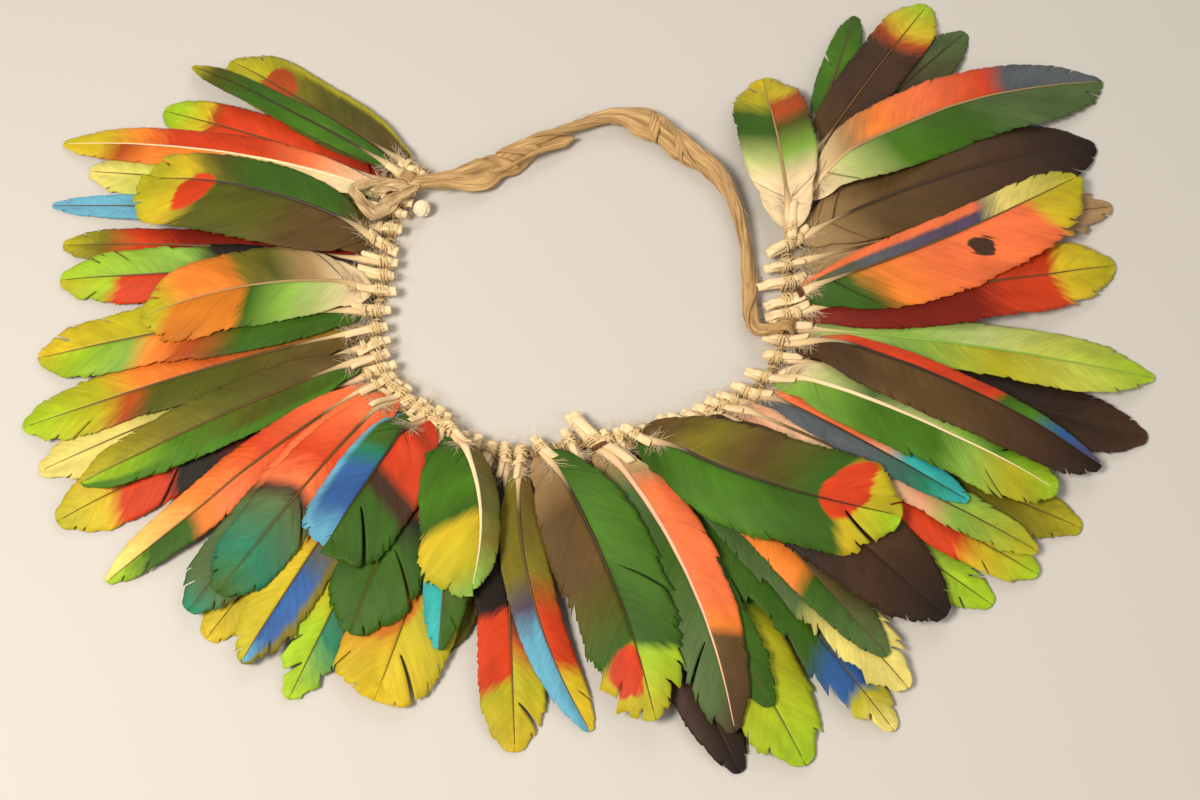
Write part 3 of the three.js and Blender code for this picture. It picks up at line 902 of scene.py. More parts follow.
@dataclass
class Feather:
    """One feather: two barbed vanes, a shaft with its bare quill, and down at the vanes' base."""

    plume: Plume
    barbs: int = 110
    columns: int = 9
    edge_steps: int = 200
    tip_steps: int = 24
    tip_length: float = 0.4
    thickness: float = 0.26
    shoulder_run: float = 9.5
    shoulder_gain: float = 0.15
    shoulder_fill: float = 0.94
    cover_rise: float = 2.3
    slant_base: float = 0.7
    slant_tip: float = 1.35
    crown: float = 0.05
    ripple: float = 0.3
    split_start: float = 0.2
    split_width: float = 1.1
    small_slits: int = 4
    small_width: float = 0.16
    deep_share: float = 0.18
    slit_reach: float = 4.0
    slit_squeeze: float = 0.42
    slit_lift: float = 0.3
    quill_width: float = 2.15
    quill_height: float = 1.5
    fold_width: float = 1.85
    fold_height: float = 0.85
    quill_end: float = 22.0
    quill_taper: float = 17.0
    shaft_start: float = 8.0
    shaft_width: float = 0.94
    shaft_tip: float = 0.16
    shaft_steps: int = 46
    shaft_sides: int = 10
    bore: float = 0.6
    bore_depth: float = 2.5
    fold_steps: int = 18
    down_strands: int = 80
    down_steps: int = 5
    down_sides: int = 3
    down_lengths: tuple[float, float] = (3.5, 9.5)
    down_radius: float = 0.14
    down_taper: float = 0.09
    down_tints: float = 40.0
    frame: FeatherFrame = field(init=False)
    rng: np.random.Generator = field(init=False)

    def __post_init__(self) -> None:
        """Reads the feather's lie and seeds its own draws."""
        self.frame = FeatherFrame(self.plume.node)
        self.rng = np.random.default_rng(self.plume.number)

    def outline(self, side: Side) -> tuple[Array, Array]:
        """Places of the barb ends along the edge of a vane and round its tip.

        Args:
            side: the vane's side.

        Returns:
            Distances along the feather and from its shaft, barb by barb.
        """
        lie = self.frame
        first = lie.base - self.plume.cover
        s = np.linspace(first, lie.tip, self.edge_steps)
        full = lie.base + self.shoulder_run + self.shoulder_gain * (self.plume.cover - USUAL_COVER) ** 1.5
        left = np.clip((full - s) / (full - first), 0.0, 1.0)
        widest = lie.read(lie.reach[side], np.full(1, full))
        round_base = widest * np.sqrt(1.0 - left ** 2) * self.shoulder_fill
        reach = np.maximum(lie.read(lie.reach[side], s), np.where(s < full, round_base, 0.0))
        turn = np.linspace(0.0, 0.5 * math.pi, self.tip_steps)[1:]
        s = np.concatenate((s, lie.tip + self.tip_length * reach[-1] * np.sin(turn)))
        reach = np.concatenate((reach, reach[-1] * np.cos(turn)))
        run = np.concatenate(((0.0,), np.cumsum(np.hypot(np.diff(s), np.diff(reach)))))
        even = np.linspace(0.0, run[-1], self.barbs + 1)
        return np.interp(even, run, s), np.interp(even, run, reach)

    def slits(self, side: Side) -> list[Slit]:
        """Gaps of one vane: its splits, a few small ones, and those between tufts at a frayed tip.

        Args:
            side: the vane's side.

        Returns:
            The gaps in order along the vane.
        """
        words = [word for word in self.plume.splits.split() if word[0] == side.name[0]]
        made = [Slit(round(int(word[1:]) / 100.0 * self.barbs), self.split_start, self.split_width)
                for word in words]
        made += [Slit(int(self.barbs * self.rng.uniform(0.15, 0.9)), self.rng.uniform(0.78, 0.92),
                      self.small_width) for _ in range(self.small_slits)]
        at = int(self.barbs * (0.94 - 0.36 * self.plume.fray))
        while at < self.barbs - 3:
            deep = self.rng.random() < self.deep_share
            start = self.rng.uniform(0.5, 0.7) if deep else self.rng.uniform(0.8, 0.95)
            made.append(Slit(at, start, self.plume.fray * self.rng.uniform(0.1, 0.7)))
            at += int(self.rng.integers(2, 10))
        kept: list[Slit] = []
        for slit in sorted(made, key=attrgetter("barb")):
            if not kept or slit.barb > kept[-1].barb + 2:
                kept.append(slit)
        return kept

    def kept_length(self, slits: list[Slit]) -> Array:
        """Share of its length that each barb keeps, with rounded, uneven tufts between the gaps.

        Args:
            slits: the vane's gaps.

        Returns:
            One share for each barb.
        """
        number = np.arange(self.barbs + 1)
        keep = 1.0 + 0.016 * self.rng.standard_normal(self.barbs + 1)
        bounds = [slit.barb for slit in slits] + [self.barbs + 1]
        for first, last in zip(bounds, bounds[1:]):
            inside = (number - first) / max(last - first, 1)
            tuft = (number >= first) & (number < last) & (number > 0.5 * self.barbs)
            lean = self.rng.choice((0.0, 1.0))
            cut = self.plume.fray * (self.rng.uniform(0.0, 0.2) + 0.2 * np.abs(inside - lean))
            keep = np.where(tuft, keep - cut, keep)
        return keep

    def vane(self, side: Side) -> tuple[Array, Array, tuple]:
        """One vane as a sheet of barbs.

        Args:
            side: the vane's side.

        Returns:
            Points by barb and column, a mask of the cells between them, and the readings.
        """
        lie = self.frame
        ends, reach = self.outline(side)
        first = lie.base - self.plume.cover
        share = np.clip((ends - lie.base) / (lie.tip - lie.base), 0.0, 1.0)
        slant = self.slant_base + (self.slant_tip - self.slant_base) * share
        roots = np.maximum.accumulate(np.clip(ends - slant * reach, first, lie.tip))
        slits = self.slits(side)
        w = np.linspace(0.0, 1.0, self.columns + 1)
        length = w * self.kept_length(slits)[:, None]
        lean = 0.72 * length + 0.28 * length ** 2
        s = roots[:, None] + (ends - roots)[:, None] * lean
        v = reach[:, None] * (1.08 * length - 0.08 * length ** 2)
        whole = np.ones((self.barbs, self.columns), bool)
        number = np.arange(self.barbs + 1)
        pitch = np.hypot(np.diff(ends), np.diff(reach)).mean()
        waves = np.sin(share * 2.0 * math.pi * self.rng.uniform(1.5, 3.0) + self.rng.uniform(0.0, 6.0))
        lift = self.ripple * waves[:, None] * w ** 2
        lift = lift + 0.02 * self.rng.standard_normal(self.barbs + 1)[:, None] * w
        for slit in slits:
            opened = np.clip((w - slit.start) / (1.0 - slit.start), 0.0, 1.0) * slit.width
            opened = opened - self.slit_squeeze * pitch
            gap = number - slit.barb + 0.5
            away = np.exp(-np.abs(gap) / self.slit_reach) * np.sign(gap)
            s = s + away[:, None] * opened
            raised = self.slit_lift * np.abs(away)[:, None] * np.maximum(opened, 0.0)
            lift = lift + raised * self.rng.uniform(-0.3, 1.0)
            whole[slit.barb - 1, w[:-1] >= slit.start - 1e-6] = False
        local = np.maximum(lie.read(lie.reach[side], s), 0.6)
        x = np.clip(v / local, 0.0, 1.15)
        z = lie.read(lie.height, s) + lie.read(lie.drop[side], s) * x
        z = z + 4.0 * self.crown * local * x * np.clip(1.0 - x, 0.0, 1.0) + lift
        more = np.clip(self.plume.cover / USUAL_COVER - 1.0, 0.0, 1.0)
        below = np.clip((lie.base + 3.0 - s) / 6.0, 0.0, 1.0) * more
        z = z + self.cover_rise * below ** 2 * (3.0 - 2.0 * below) * np.clip((v - 1.0) / 3.0, 0.0, 1.0)
        points = lie.place(s, lie.read(lie.middle, s) + side.value * v, np.maximum(z, 0.2))
        tone = (0.35 * roots[:, None] + 0.65 * s - lie.base) / (lie.tip - lie.base)
        across = np.broadcast_to(side.value * np.maximum(w, 0.001), s.shape)
        count = np.broadcast_to(number[:, None].astype(float), s.shape)
        return points, whole, (tone, across, count)

    def add_vane(self, shell: Shell, side: Side) -> None:
        """Adds one vane as a thin closed body.

        Args:
            shell: what it is added to.
            side: the vane's side.
        """
        points, whole, readings = self.vane(side)
        rows, columns, _ = points.shape
        number = np.arange(rows * columns).reshape(rows, columns)
        quads = np.stack((number[:-1, :-1], number[1:, :-1], number[1:, 1:], number[:-1, 1:]), -1)[whole]
        if side is Side.RIGHT:
            quads = quads[:, ::-1]
        flat = points.reshape(-1, 3)
        half = 0.5 * self.thickness * UP
        below = len(flat)
        edges = np.concatenate([quads[:, (k, (k + 1) % 4)] for k in range(4)])
        held = {(a, b) for a, b in edges.tolist()}
        rims = [(a, a + below, b + below, b) for a, b in held if (b, a) not in held]
        faces = quads.tolist() + (quads[:, ::-1] + below).tolist() + sorted(rims)
        doubled = tuple(np.tile(values.reshape(-1), 2) for values in readings)
        shell.add(np.concatenate((flat + half, flat - half)), faces, 0, doubled)

    def add_rod(self, shell: Shell, s: Array, aside: Array, z: Array, sizes: tuple, along: Array) -> None:
        """Adds a closed oval rod that runs along the feather.

        Args:
            shell: what it is added to.
            s: distances along the feather.
            aside: distances from its middle line.
            z: heights.
            sizes: half widths and half heights.
            along: readings along the quill and shaft, from 0 to 1.
        """
        lie = self.frame
        turn = np.arange(self.shaft_sides) * (2.0 * math.pi / self.shaft_sides)
        wide, high = (np.asarray(size)[:, None] for size in sizes)
        sideways = (lie.read(lie.middle, s) + aside)[:, None] + wide * np.cos(turn)
        heights = np.maximum(z[:, None] + high * np.sin(turn), 0.1)
        points = lie.place(np.broadcast_to(s[:, None], heights.shape), sideways, heights).reshape(-1, 3)
        across = np.tile(np.abs(turn / math.pi - 1.0), len(s))
        faces = tube_faces(1, len(s), self.shaft_sides)
        shell.add(points, faces, 1, (np.repeat(along, self.shaft_sides), across, float(self.plume.number)))

    def add_shaft(self, shell: Shell) -> None:
        """Adds the shaft from its cut, hollow quill end to the tip of the vanes.

        Args:
            shell: what it is added to.
        """
        lie = self.frame
        lip = np.array((self.bore, self.bore, 0.92, 1.0))
        root = lie.root + self.rng.uniform(-1.6, 0.8) + 9.0 * max(1.0 - self.plume.stub, 0.0)
        root += self.rng.choice((0.0, 0.0, 1.5))
        rim = np.array((root + self.bore_depth, root, root, root + 0.3))
        s = np.linspace(root + 0.8, lie.tip - 0.8, self.shaft_steps)
        share = np.clip((s - self.shaft_start) / (lie.tip - self.shaft_start), 0.0, 1.0)
        thin = self.shaft_width * self.plume.ridge * (1.0 - share) + self.shaft_tip
        body = np.clip((self.quill_end - s) / self.quill_taper, 0.0, 1.0)
        body = body * body * (3.0 - 2.0 * body)
        stub = self.quill_width * self.plume.stub * self.rng.uniform(0.88, 1.2)
        wide = np.concatenate((stub * lip, thin + (stub - thin) * body))
        low = 0.9 * thin
        high = np.concatenate((self.quill_height * lip, low + (self.quill_height - low) * body))
        s = np.concatenate((rim, s))
        along = np.clip((s - root) / (lie.tip - root), 0.0, 1.0)
        self.add_rod(shell, s, np.zeros(len(s)), lie.read(lie.height, s) + 0.1, (wide, high), along)

    def add_fold(self, shell: Shell) -> None:
        """Adds the quill's split end, folded over the cord and laid back beside the shaft.

        Args:
            shell: what it is added to.
        """
        lie = self.frame
        end = self.rng.uniform(6.0, 14.0)
        swing = self.rng.choice((-1.0, 1.0)) * self.rng.uniform(0.8, 3.4)
        end, swing = self.plume.fold or (end, swing)
        t = np.linspace(0.0, 1.0, self.fold_steps)
        s = lie.root + 1.0 + (end - lie.root - 1.0) * t
        over = np.sin(0.5 * math.pi * np.clip(5.0 * t, 0.0, 1.0))
        z = lie.read(lie.height, s) + (self.quill_height + self.fold_height) * over * (1.0 - 0.25 * t ** 2)
        round_end = np.sqrt(np.clip(np.minimum(12.0 * t + 0.3, 60.0 * (1.0 - t) + 0.75), 0.0, 1.0))
        width = self.fold_width * self.plume.stub ** 0.5 * self.rng.uniform(0.8, 1.25)
        sizes = (width * round_end * (1.0 - 0.15 * t), self.fold_height * round_end)
        self.add_rod(shell, s, swing * t ** 1.5, z, sizes, 0.05 * t)

    def add_down(self, shell: Shell) -> None:
        """Adds the loose down below the vanes and over their base.

        Args:
            shell: what it is added to.
        """
        lie = self.frame
        strands, steps, sides = self.down_strands, self.down_steps, self.down_sides
        rng = self.rng
        t = np.linspace(0.0, 1.0, steps)
        start = lie.base + rng.uniform(-7.0, 4.0, (strands, 1))
        side = np.where(rng.random((strands, 1)) < 0.5, -1.0, 1.0)
        length = rng.uniform(*self.down_lengths, (strands, 1))
        lean = rng.uniform(-0.3, 1.1, (strands, 1))
        swing = rng.uniform(-2.8, 2.8, (strands, 1))
        curl = swing * np.sin(3.4 * t + rng.uniform(0.0, 3.0, (strands, 1)))
        s = start + length * np.sin(lean) * t + 0.5 * curl * t
        v = side * (0.6 + length * np.cos(lean) * t * (1.0 - 0.2 * t)) + 0.3 * curl * t
        rise = rng.uniform(-0.8, 1.6, (strands, 1))
        z = lie.read(lie.height, s) + 0.4 + rise * t + 0.25 * curl * t
        paths = lie.place(s, lie.read(lie.middle, s) + v, np.maximum(z, 0.4))
        radii = np.broadcast_to(self.down_radius - self.down_taper * t, (strands, steps))
        points, faces = tubes(paths, radii, sides)
        shade = np.repeat(rng.random(strands) * self.down_tints, steps * sides)
        shell.add(points, faces, 2, (np.tile(np.repeat(t, sides), strands), 0.5, shade))

    def build(self, shaft: bpy.types.Material, down: bpy.types.Material) -> bpy.types.Object:
        """Builds the feather in the place of its CAD node.

        Args:
            shaft: finish of its shaft and quill.
            down: finish of its down.

        Returns:
            The feather.
        """
        shell = Shell()
        for side in Side:
            self.add_vane(shell, side)
        self.add_shaft(shell)
        self.add_fold(shell)
        self.add_down(shell)
        made = shell.build(f"plume_{self.plume.number:02d}", [VaneFinish(self.plume).make(), shaft, down])
        slots = {row["node"]: row["material_slot"] for row in frame["record"]["subparts"]}
        return settle(made, slots[self.plume.node], self.plume.node)


class FeatherBed:
    """Upper side of the laid feathers, for what lies on top of them."""

    def __init__(self, plumes: list[bpy.types.Object]) -> None:
        """Collects the feathers' corners.

        Args:
            plumes: the dressed feathers.
        """
        held = []
        for plume in plumes:
            raw = np.empty(3 * len(plume.data.vertices))
            plume.data.vertices.foreach_get("co", raw)
            held.append(raw.reshape(-1, 3) / MM)
        self.points = np.concatenate(held)

    def top(self, x: float, y: float, reach: float) -> float:
        """Highest point within a reach of a place."""
        near = np.hypot(self.points[:, 0] - x, self.points[:, 1] - y) < reach
        return float(self.points[near, 2].max(initial=0.0))


@dataclass
class FoundationCord:
    """Two-ply fibre cord that every quill lies across."""

    ply_radius: float = 1.15
    ply_offset: float = 0.85
    lay: float = 9.0
    corners: int = 8
    sides: int = 8
    step: float = 0.8
    streak_run: float = 60.0

    def route(self) -> Array:
        """Middle line of the cord, read from its CAD solid.

        Returns:
            Points at even steps from its left end.
        """
        line = loft_rings("base_cord", self.corners).mean(1)
        run = run_along(line)
        even = np.arange(0.0, run[-1], self.step)
        return np.stack([smoothed(run, line[:, k], even, 2.0) for k in range(3)], -1)

    def build(self, fibre: bpy.types.Material) -> bpy.types.Object:
        """Builds the cord in the place of its CAD node.

        Args:
            fibre: its finish.

        Returns:
            The cord.
        """
        line = self.route()
        ahead = unit(np.gradient(line, axis=0))
        leftward = np.cross(UP, ahead)
        turn = np.arange(len(line)) * self.step / self.lay * 2.0 * math.pi
        shell = Shell()
        for ply in range(2):
            angle = turn + ply * math.pi
            aside = np.cos(angle)[:, None] * leftward + np.sin(angle)[:, None] * UP
            path = line + self.ply_offset * aside
            path[:, 2] = np.maximum(path[:, 2], self.ply_radius + 0.02)
            radii = np.full((1, len(line)), self.ply_radius)
            points, faces = tubes(path[None], radii, self.sides)
            along = np.repeat(np.linspace(0.0, self.streak_run, len(line)), self.sides)
            across = np.tile(np.linspace(0.0, 1.0, self.sides), len(line))
            shell.add(points, faces, 0, (along, across, float(ply)))
        return settle(shell.build("foundation_cord", [fibre]), "fibre", "base_cord")


@dataclass
class Lashings:
    """Thread that binds each quill to the cord, and the loose fibres round the ties."""

    feathers: list[Feather]
    thread: float = 0.36
    thread_sides: int = 6
    streak_steps: float = 8.0
    tints: float = 50.0
    turns: float = 5.0
    turn_steps: int = 12
    bundle_width: float = 2.75
    bundle_height: float = 2.75
    bundle_rise: float = 0.95
    crossings: int = 2
    crossing_steps: int = 19
    second_share: float = 0.6
    second_cover: float = 4.0
    second_spread: float = 0.8
    # Feathers whose second winding is made in the dark thread, a dark band across the quill: a brown tie on
    # 32, and the band on 50.
    dark_bands: tuple[int, ...] = (32, 50)
    cord_pitch: float = 3.4
    cord_reach: float = 2.5
    cord_steps: float = 9.0
    fuzz_strands: int = 22
    fuzz_steps: int = 7
    fuzz_sides: int = 3
    fuzz_lengths: tuple[float, float] = (3.0, 10.0)
    fuzz_radii: tuple[float, float] = (0.13, 0.05)
    knot_radius: float = 3.6
    knot_steps: int = 13
    knot_sides: int = 14
    knot_turns: float = 12.0
    knot_points: int = 260
    knot_place: tuple[float, float, float] = (4.7, -11.0, -5.0)
    seed: int = 7

    def wrap(self, feather: Feather, middle: float, spread: float, rng: np.random.Generator) -> Array:
        """Path of the thread wound round one quill and its folded end.

        Args:
            feather: the feather.
            middle: place of the winding along it.
            spread: half length of the winding.
            rng: source of its unevenness.

        Returns:
            Points of the path.
        """
        lie = feather.frame
        steps = int(self.turns * self.turn_steps)
        t = np.linspace(-1.0, 1.0, steps)
        s = middle + spread * t + 0.35 * np.sin(7.0 * t + rng.uniform(0.0, 6.0))
        angle = math.pi * self.turns * t + rng.uniform(0.0, 6.0)
        loose = 1.0 + 0.07 * np.sin(2.7 * angle + rng.uniform(0.0, 6.0))
        z = lie.read(lie.height, s) + self.bundle_rise + self.bundle_height * loose * np.sin(angle)
        v = lie.read(lie.middle, s) + self.bundle_width * feather.plume.stub ** 0.7 * loose * np.cos(angle)
        return lie.place(s, v, np.maximum(z, self.thread + 0.05))

    def crossing(self, lie: FeatherFrame, rng: np.random.Generator) -> Array:
        """Path of one slanting turn round quill and cord.

        Args:
            lie: lie of the feather.
            rng: source of its unevenness.

        Returns:
            Points of the path.
        """
        angle = np.linspace(0.0, 2.0 * math.pi, self.crossing_steps)
        top = lie.tie[2] + self.bundle_rise + self.bundle_height + rng.uniform(0.2, 0.6)
        bottom = 0.5
        slant = rng.choice((-1.0, 1.0)) * rng.uniform(0.4, 1.0)
        s = rng.uniform(-1.0, 1.0) + rng.uniform(2.5, 3.2) * np.cos(angle)
        v = slant * 2.8 * np.cos(angle)
        z = 0.5 * (top + bottom) + 0.5 * (top - bottom) * np.sin(angle)
        return lie.place(s, v, z)

    def cord_turns(self, line: Array, rng: np.random.Generator) -> Array:
        """Path of the thread that runs round the cord from tie to tie.

        Args:
            line: middle line of the cord.
            rng: source of its unevenness.

        Returns:
            Points of the path.
        """
        ahead = unit(np.gradient(line, axis=0))
        leftward = np.cross(UP, ahead)
        run = run_along(line)
        t = np.arange(0.0, run[-1], self.cord_pitch / self.cord_steps)
        drift = np.cumsum(rng.standard_normal(len(t))) * 0.05
        angle = 2.0 * math.pi * t / self.cord_pitch + drift
        middle, level = (np.stack([np.interp(t, run, values[:, k]) for k in range(3)], -1)
                         for values in (line, leftward))
        radius = self.cord_reach + 0.25 * np.sin(0.83 * angle)
        path = middle + radius[:, None] * (np.cos(angle)[:, None] * level + np.sin(angle)[:, None] * UP)
        path[:, 2] = np.maximum(path[:, 2], self.thread + 0.02)
        return path

    def fuzz(self, lie: FeatherFrame, rng: np.random.Generator) -> Array:
        """Paths of the loose fibres at one tie.

        Args:
            lie: lie of the feather that is tied there.
            rng: source of their unevenness.

        Returns:
            Points of the paths, fibre by fibre.
        """
        count = self.fuzz_strands
        t = np.linspace(0.0, 1.0, self.fuzz_steps)
        start = rng.uniform((-6.0, -2.4), (8.0, 2.4), (count, 2))[:, None]
        heading = rng.uniform(0.0, 2.0 * math.pi, (count, 1))
        length = rng.uniform(*self.fuzz_lengths, (count, 1))
        bend = rng.uniform(-2.2, 2.2, (count, 1)) * t
        s = start[..., 0] + length * t * np.cos(heading + bend)
        v = start[..., 1] + length * t * np.sin(heading + bend)
        z = lie.tie[2] + rng.uniform(-1.0, 1.8, (count, 1))
        z = z + rng.uniform(-1.0, 2.6, (count, 1)) * np.sin(2.6 * t)
        return lie.place(s, v, np.maximum(z, 0.3))

    def knot(self, shell: Shell, middle: Array) -> None:
        """Adds the round thread knot under the strip's left end.

        Args:
            shell: what it is added to.
            middle: its middle.
        """
        steps, sides = self.knot_steps, self.knot_sides
        tilt = np.linspace(-0.5 * math.pi, 0.5 * math.pi, steps)
        core = middle + self.knot_radius * np.sin(tilt)[:, None] * UP
        points, faces = tubes(core[None], (self.knot_radius * np.cos(tilt))[None] + 0.05, sides)
        shell.add(points, faces, 2, (0.5, np.tile(np.linspace(0.0, 1.0, sides), steps), 3.0))
        u = np.linspace(0.0, 2.0 * math.pi * self.knot_turns, self.knot_points)
        swing = 1.3 * np.sin(0.87 * u)
        ball = np.stack((np.cos(u) * np.cos(swing), np.sin(u) * np.cos(swing), np.sin(swing)), -1)
        winding = middle + (self.knot_radius + 0.1) * ball
        sides = self.thread_sides
        points, faces = tubes(winding[None], np.full((1, len(u)), self.thread), sides)
        around = np.tile(np.linspace(0, 1, sides), len(u))
        shell.add(points, faces, 2, (np.repeat(u / 6.0, sides), around, 4.0))

    def build(self, threads: list, cord: Array, strip_end: Array) -> Iterator[bpy.types.Object]:
        """Builds the wound thread and the loose fibres as two pieces.

        Args:
            threads: finishes of the pale thread, the dark one and the knot's.
            cord: middle line of the foundation cord.
            strip_end: left end of the bark strip.

        Yields:
            The two pieces.
        """
        rng = np.random.default_rng(self.seed)
        wound, loose = Shell(), Shell()
        paths = [(self.cord_turns(cord, rng), 0, 0.0)]
        for feather in self.feathers:
            lie = feather.frame
            tint = rng.random() * self.tints
            dark = feather.plume.number in self.dark_bands
            paths.append((self.wrap(feather, rng.uniform(-0.9, 0.5), rng.uniform(1.3, 2.0), rng), 0, tint))
            if dark or (feather.plume.cover < self.second_cover and rng.random() < self.second_share):
                second = self.wrap(feather, rng.uniform(3.6, 5.8), self.second_spread, rng)
                paths.append((second, int(dark), tint))
            paths += [(self.crossing(lie, rng), 0, tint) for _ in range(self.crossings)]
            fibres = self.fuzz(lie, rng)
            radii = np.broadcast_to(np.linspace(*self.fuzz_radii, fibres.shape[1]), fibres.shape[:2])
            points, faces = tubes(fibres, radii, self.fuzz_sides)
            loose.add(points, faces, 0, (0.5, 0.5, tint))
        sides = self.thread_sides
        for path, slot, tint in paths:
            points, faces = tubes(path[None], np.full((1, len(path)), self.thread), sides)
            along = np.repeat(np.linspace(0.0, len(path) / self.streak_steps, len(path)), sides)
            wound.add(points, faces, slot, (along, np.tile(np.linspace(0, 1, sides), len(path)), tint))
        self.knot(wound, strip_end + np.array(self.knot_place))
        yield settle(wound.build("quill_lashings", threads), "fibre")
        yield settle(loose.build("loose_fibres", threads[:1]), "fibre")


@dataclass
class BarkStrip:
    """Bark strip that closes the ring, with a loose flap and a looped tail over the first quills.

    Strands have the places along the strip where they start and end, their turns round it and their
    width. Lumps have a place along the strip, a reach and a size. The tails' rows are places from the
    strip's left end, with the width there. Tints are numbers that set the streaks of a layer.
    """

    corners: int = 8
    sides: int = 40
    step: float = 0.9
    folds: float = 0.17
    fold_run: float = 330.0
    streak_length: float = 9.0
    body_tint: float = 1.0
    strand_tint: float = 5.0
    strand_sides: int = 12
    strand_depth: float = 1.2
    strands: tuple = ((0.04, 0.4, 0.9, 2.6), (0.2, 0.62, 1.1, 2.4), (0.42, 0.8, 1.0, 2.6),
                      (0.55, 0.97, 1.1, 2.4), (0.09, 0.2, 0.8, 6.5), (0.17, 0.29, 0.9, 5.5),
                      (0.42, 0.5, 0.8, 6.5), (0.48, 0.58, 0.7, 5.0))
    flap_from: float = 0.14
    flap_to: float = 0.315
    flap_width: float = 3.6
    flap_depth: float = 0.8
    flap_sides: int = 14
    flap_tint: float = 11.0
    tail_depth: float = 0.9
    tail_gap: float = 1.2
    tail_steps: int = 12
    tail_sides: int = 24
    tail_tint: float = 17.0
    bed_reach: float = 4.0
    tail: tuple = ((5.0, -1.0, 3.0), (-7.0, -1.0, 4.0), (-18.0, -2.0, 4.5), (-26.5, -5.5, 5.0),
                   (-22.0, -13.0, 6.0), (-15.5, -20.5, 6.5), (-10.5, -13.0, 9.0), (-5.0, -7.0, 8.0),
                   (3.0, -2.0, 4.0))
    inner_tail: tuple = ((4.0, -1.5, 3.0), (-4.0, -3.2, 5.0), (-10.5, -4.4, 5.5), (-17.0, -6.0, 3.5))
    torn_tail: tuple = ((2.0, -4.0, 4.0), (-7.0, -9.0, 7.0), (-13.0, -15.0, 6.0), (-16.5, -23.5, 2.5))
    lumps: tuple = ((0.05, 0.03, -0.25), (0.12, 0.022, 0.3), (0.16, 0.012, -0.15), (0.2, 0.022, 0.25),
                    (0.26, 0.018, -0.25), (0.34, 0.03, -0.2), (0.455, 0.02, 0.35), (0.5, 0.014, -0.1),
                    (0.54, 0.025, 0.15), (0.64, 0.03, 0.1))
    hook_turns: int = 6
    hook_steps: int = 25
    hook_sides: int = 7
    hook_radius: float = 0.62
    hook_reach: float = 3.9
    hook_pitch: float = 1.15
    hook_low: float = 0.8
    hook_rise: float = 2.6
    hook_tint: float = 23.0
    hairs: int = 150
    hair_steps: int = 5
    hair_sides: int = 3
    hair_lengths: tuple[float, float] = (3.0, 11.0)
    hair_tints: float = 30.0
    seed: int = 11
    middle: Array = field(init=False)
    across: Array = field(init=False)
    over: Array = field(init=False)
    half_width: Array = field(init=False)
    half_depth: Array = field(init=False)
    share: Array = field(init=False)

    def __post_init__(self) -> None:
        """Reads run, section and turn of the strip from its CAD solid."""
        rings = loft_rings("tie_strap", self.corners)
        if rings[0][:, 0].mean() > rings[-1][:, 0].mean():
            rings = rings[::-1]
        line = rings.mean(1)
        run = run_along(line)
        wide, sizes = [], []
        for ring, centre in zip(rings, line):
            axes = np.linalg.svd(ring - centre)[2]
            major = axes[0] if not wide or axes[0] @ wide[-1] > 0.0 else -axes[0]
            wide.append(major)
            sizes.append([np.abs((ring - centre) @ axis).max() for axis in axes[:2]])
        even = np.linspace(0.0, run[-1], int(run[-1] / self.step))
        self.middle = self.evened(run, line, even, 2.5)
        ahead = unit(np.gradient(self.middle, axis=0))
        across = self.evened(run, np.array(wide), even, 3.0)
        self.across = unit(across - (across * ahead).sum(1, keepdims=True) * ahead)
        self.over = np.cross(ahead, self.across)
        self.half_width, self.half_depth = self.evened(run, np.array(sizes), even, 3.0).T
        self.share = even / even[-1]

    @staticmethod
    def evened(run: Array, rows: Array, at: Array, reach: float) -> Array:
        """Rows of values read as smooth curves.

        Args:
            run: where the rows stand along the strip.
            rows: the rows.
            at: where the curves are read.
            reach: how far along they are evened out.

        Returns:
            One row for each place.
        """
        return np.stack([smoothed(run, column, at, reach) for column in rows.T], -1)

    def sweep(self, shell: Shell, path: Array, across: Array, over: Array, section: tuple, tint: float,
              slot: int = 0) -> None:
        """Adds a closed strip along a path.

        Args:
            shell: what it is added to.
            path: middle line.
            across: direction of the section's width at each point.
            over: direction of its depth.
            section: distances across and over, by point and corner.
            tint: number that sets its streaks.
            slot: number of its finish.
        """
        u, v = section
        steps, sides = u.shape
        points = path[:, None] + u[..., None] * across[:, None] + v[..., None] * over[:, None]
        points[..., 2] = np.maximum(points[..., 2], 0.1)
        run = run_along(path)
        along = np.repeat(run / self.streak_length, sides)
        turn = np.abs(np.linspace(-1.0, 1.0, sides, endpoint=False))
        readings = (along, np.tile(turn, steps), tint)
        shell.add(points.reshape(-1, 3), tube_faces(1, steps, sides), slot, readings)

    def oval(self, half_width: Array, half_depth: Array, sides: int) -> tuple[Array, Array]:
        """Section of a flat strip with rounded edges.

        Args:
            half_width: half its width at each point.
            half_depth: half its depth.
            sides: corners of the section.

        Returns:
            Distances across and over, by point and corner.
        """
        turn = np.arange(sides) * (2.0 * math.pi / sides)
        u = np.sign(np.cos(turn)) * np.abs(np.cos(turn)) ** 0.75
        v = np.sign(np.sin(turn)) * np.abs(np.sin(turn)) ** 0.8
        return half_width[:, None] * u, half_depth[:, None] * v

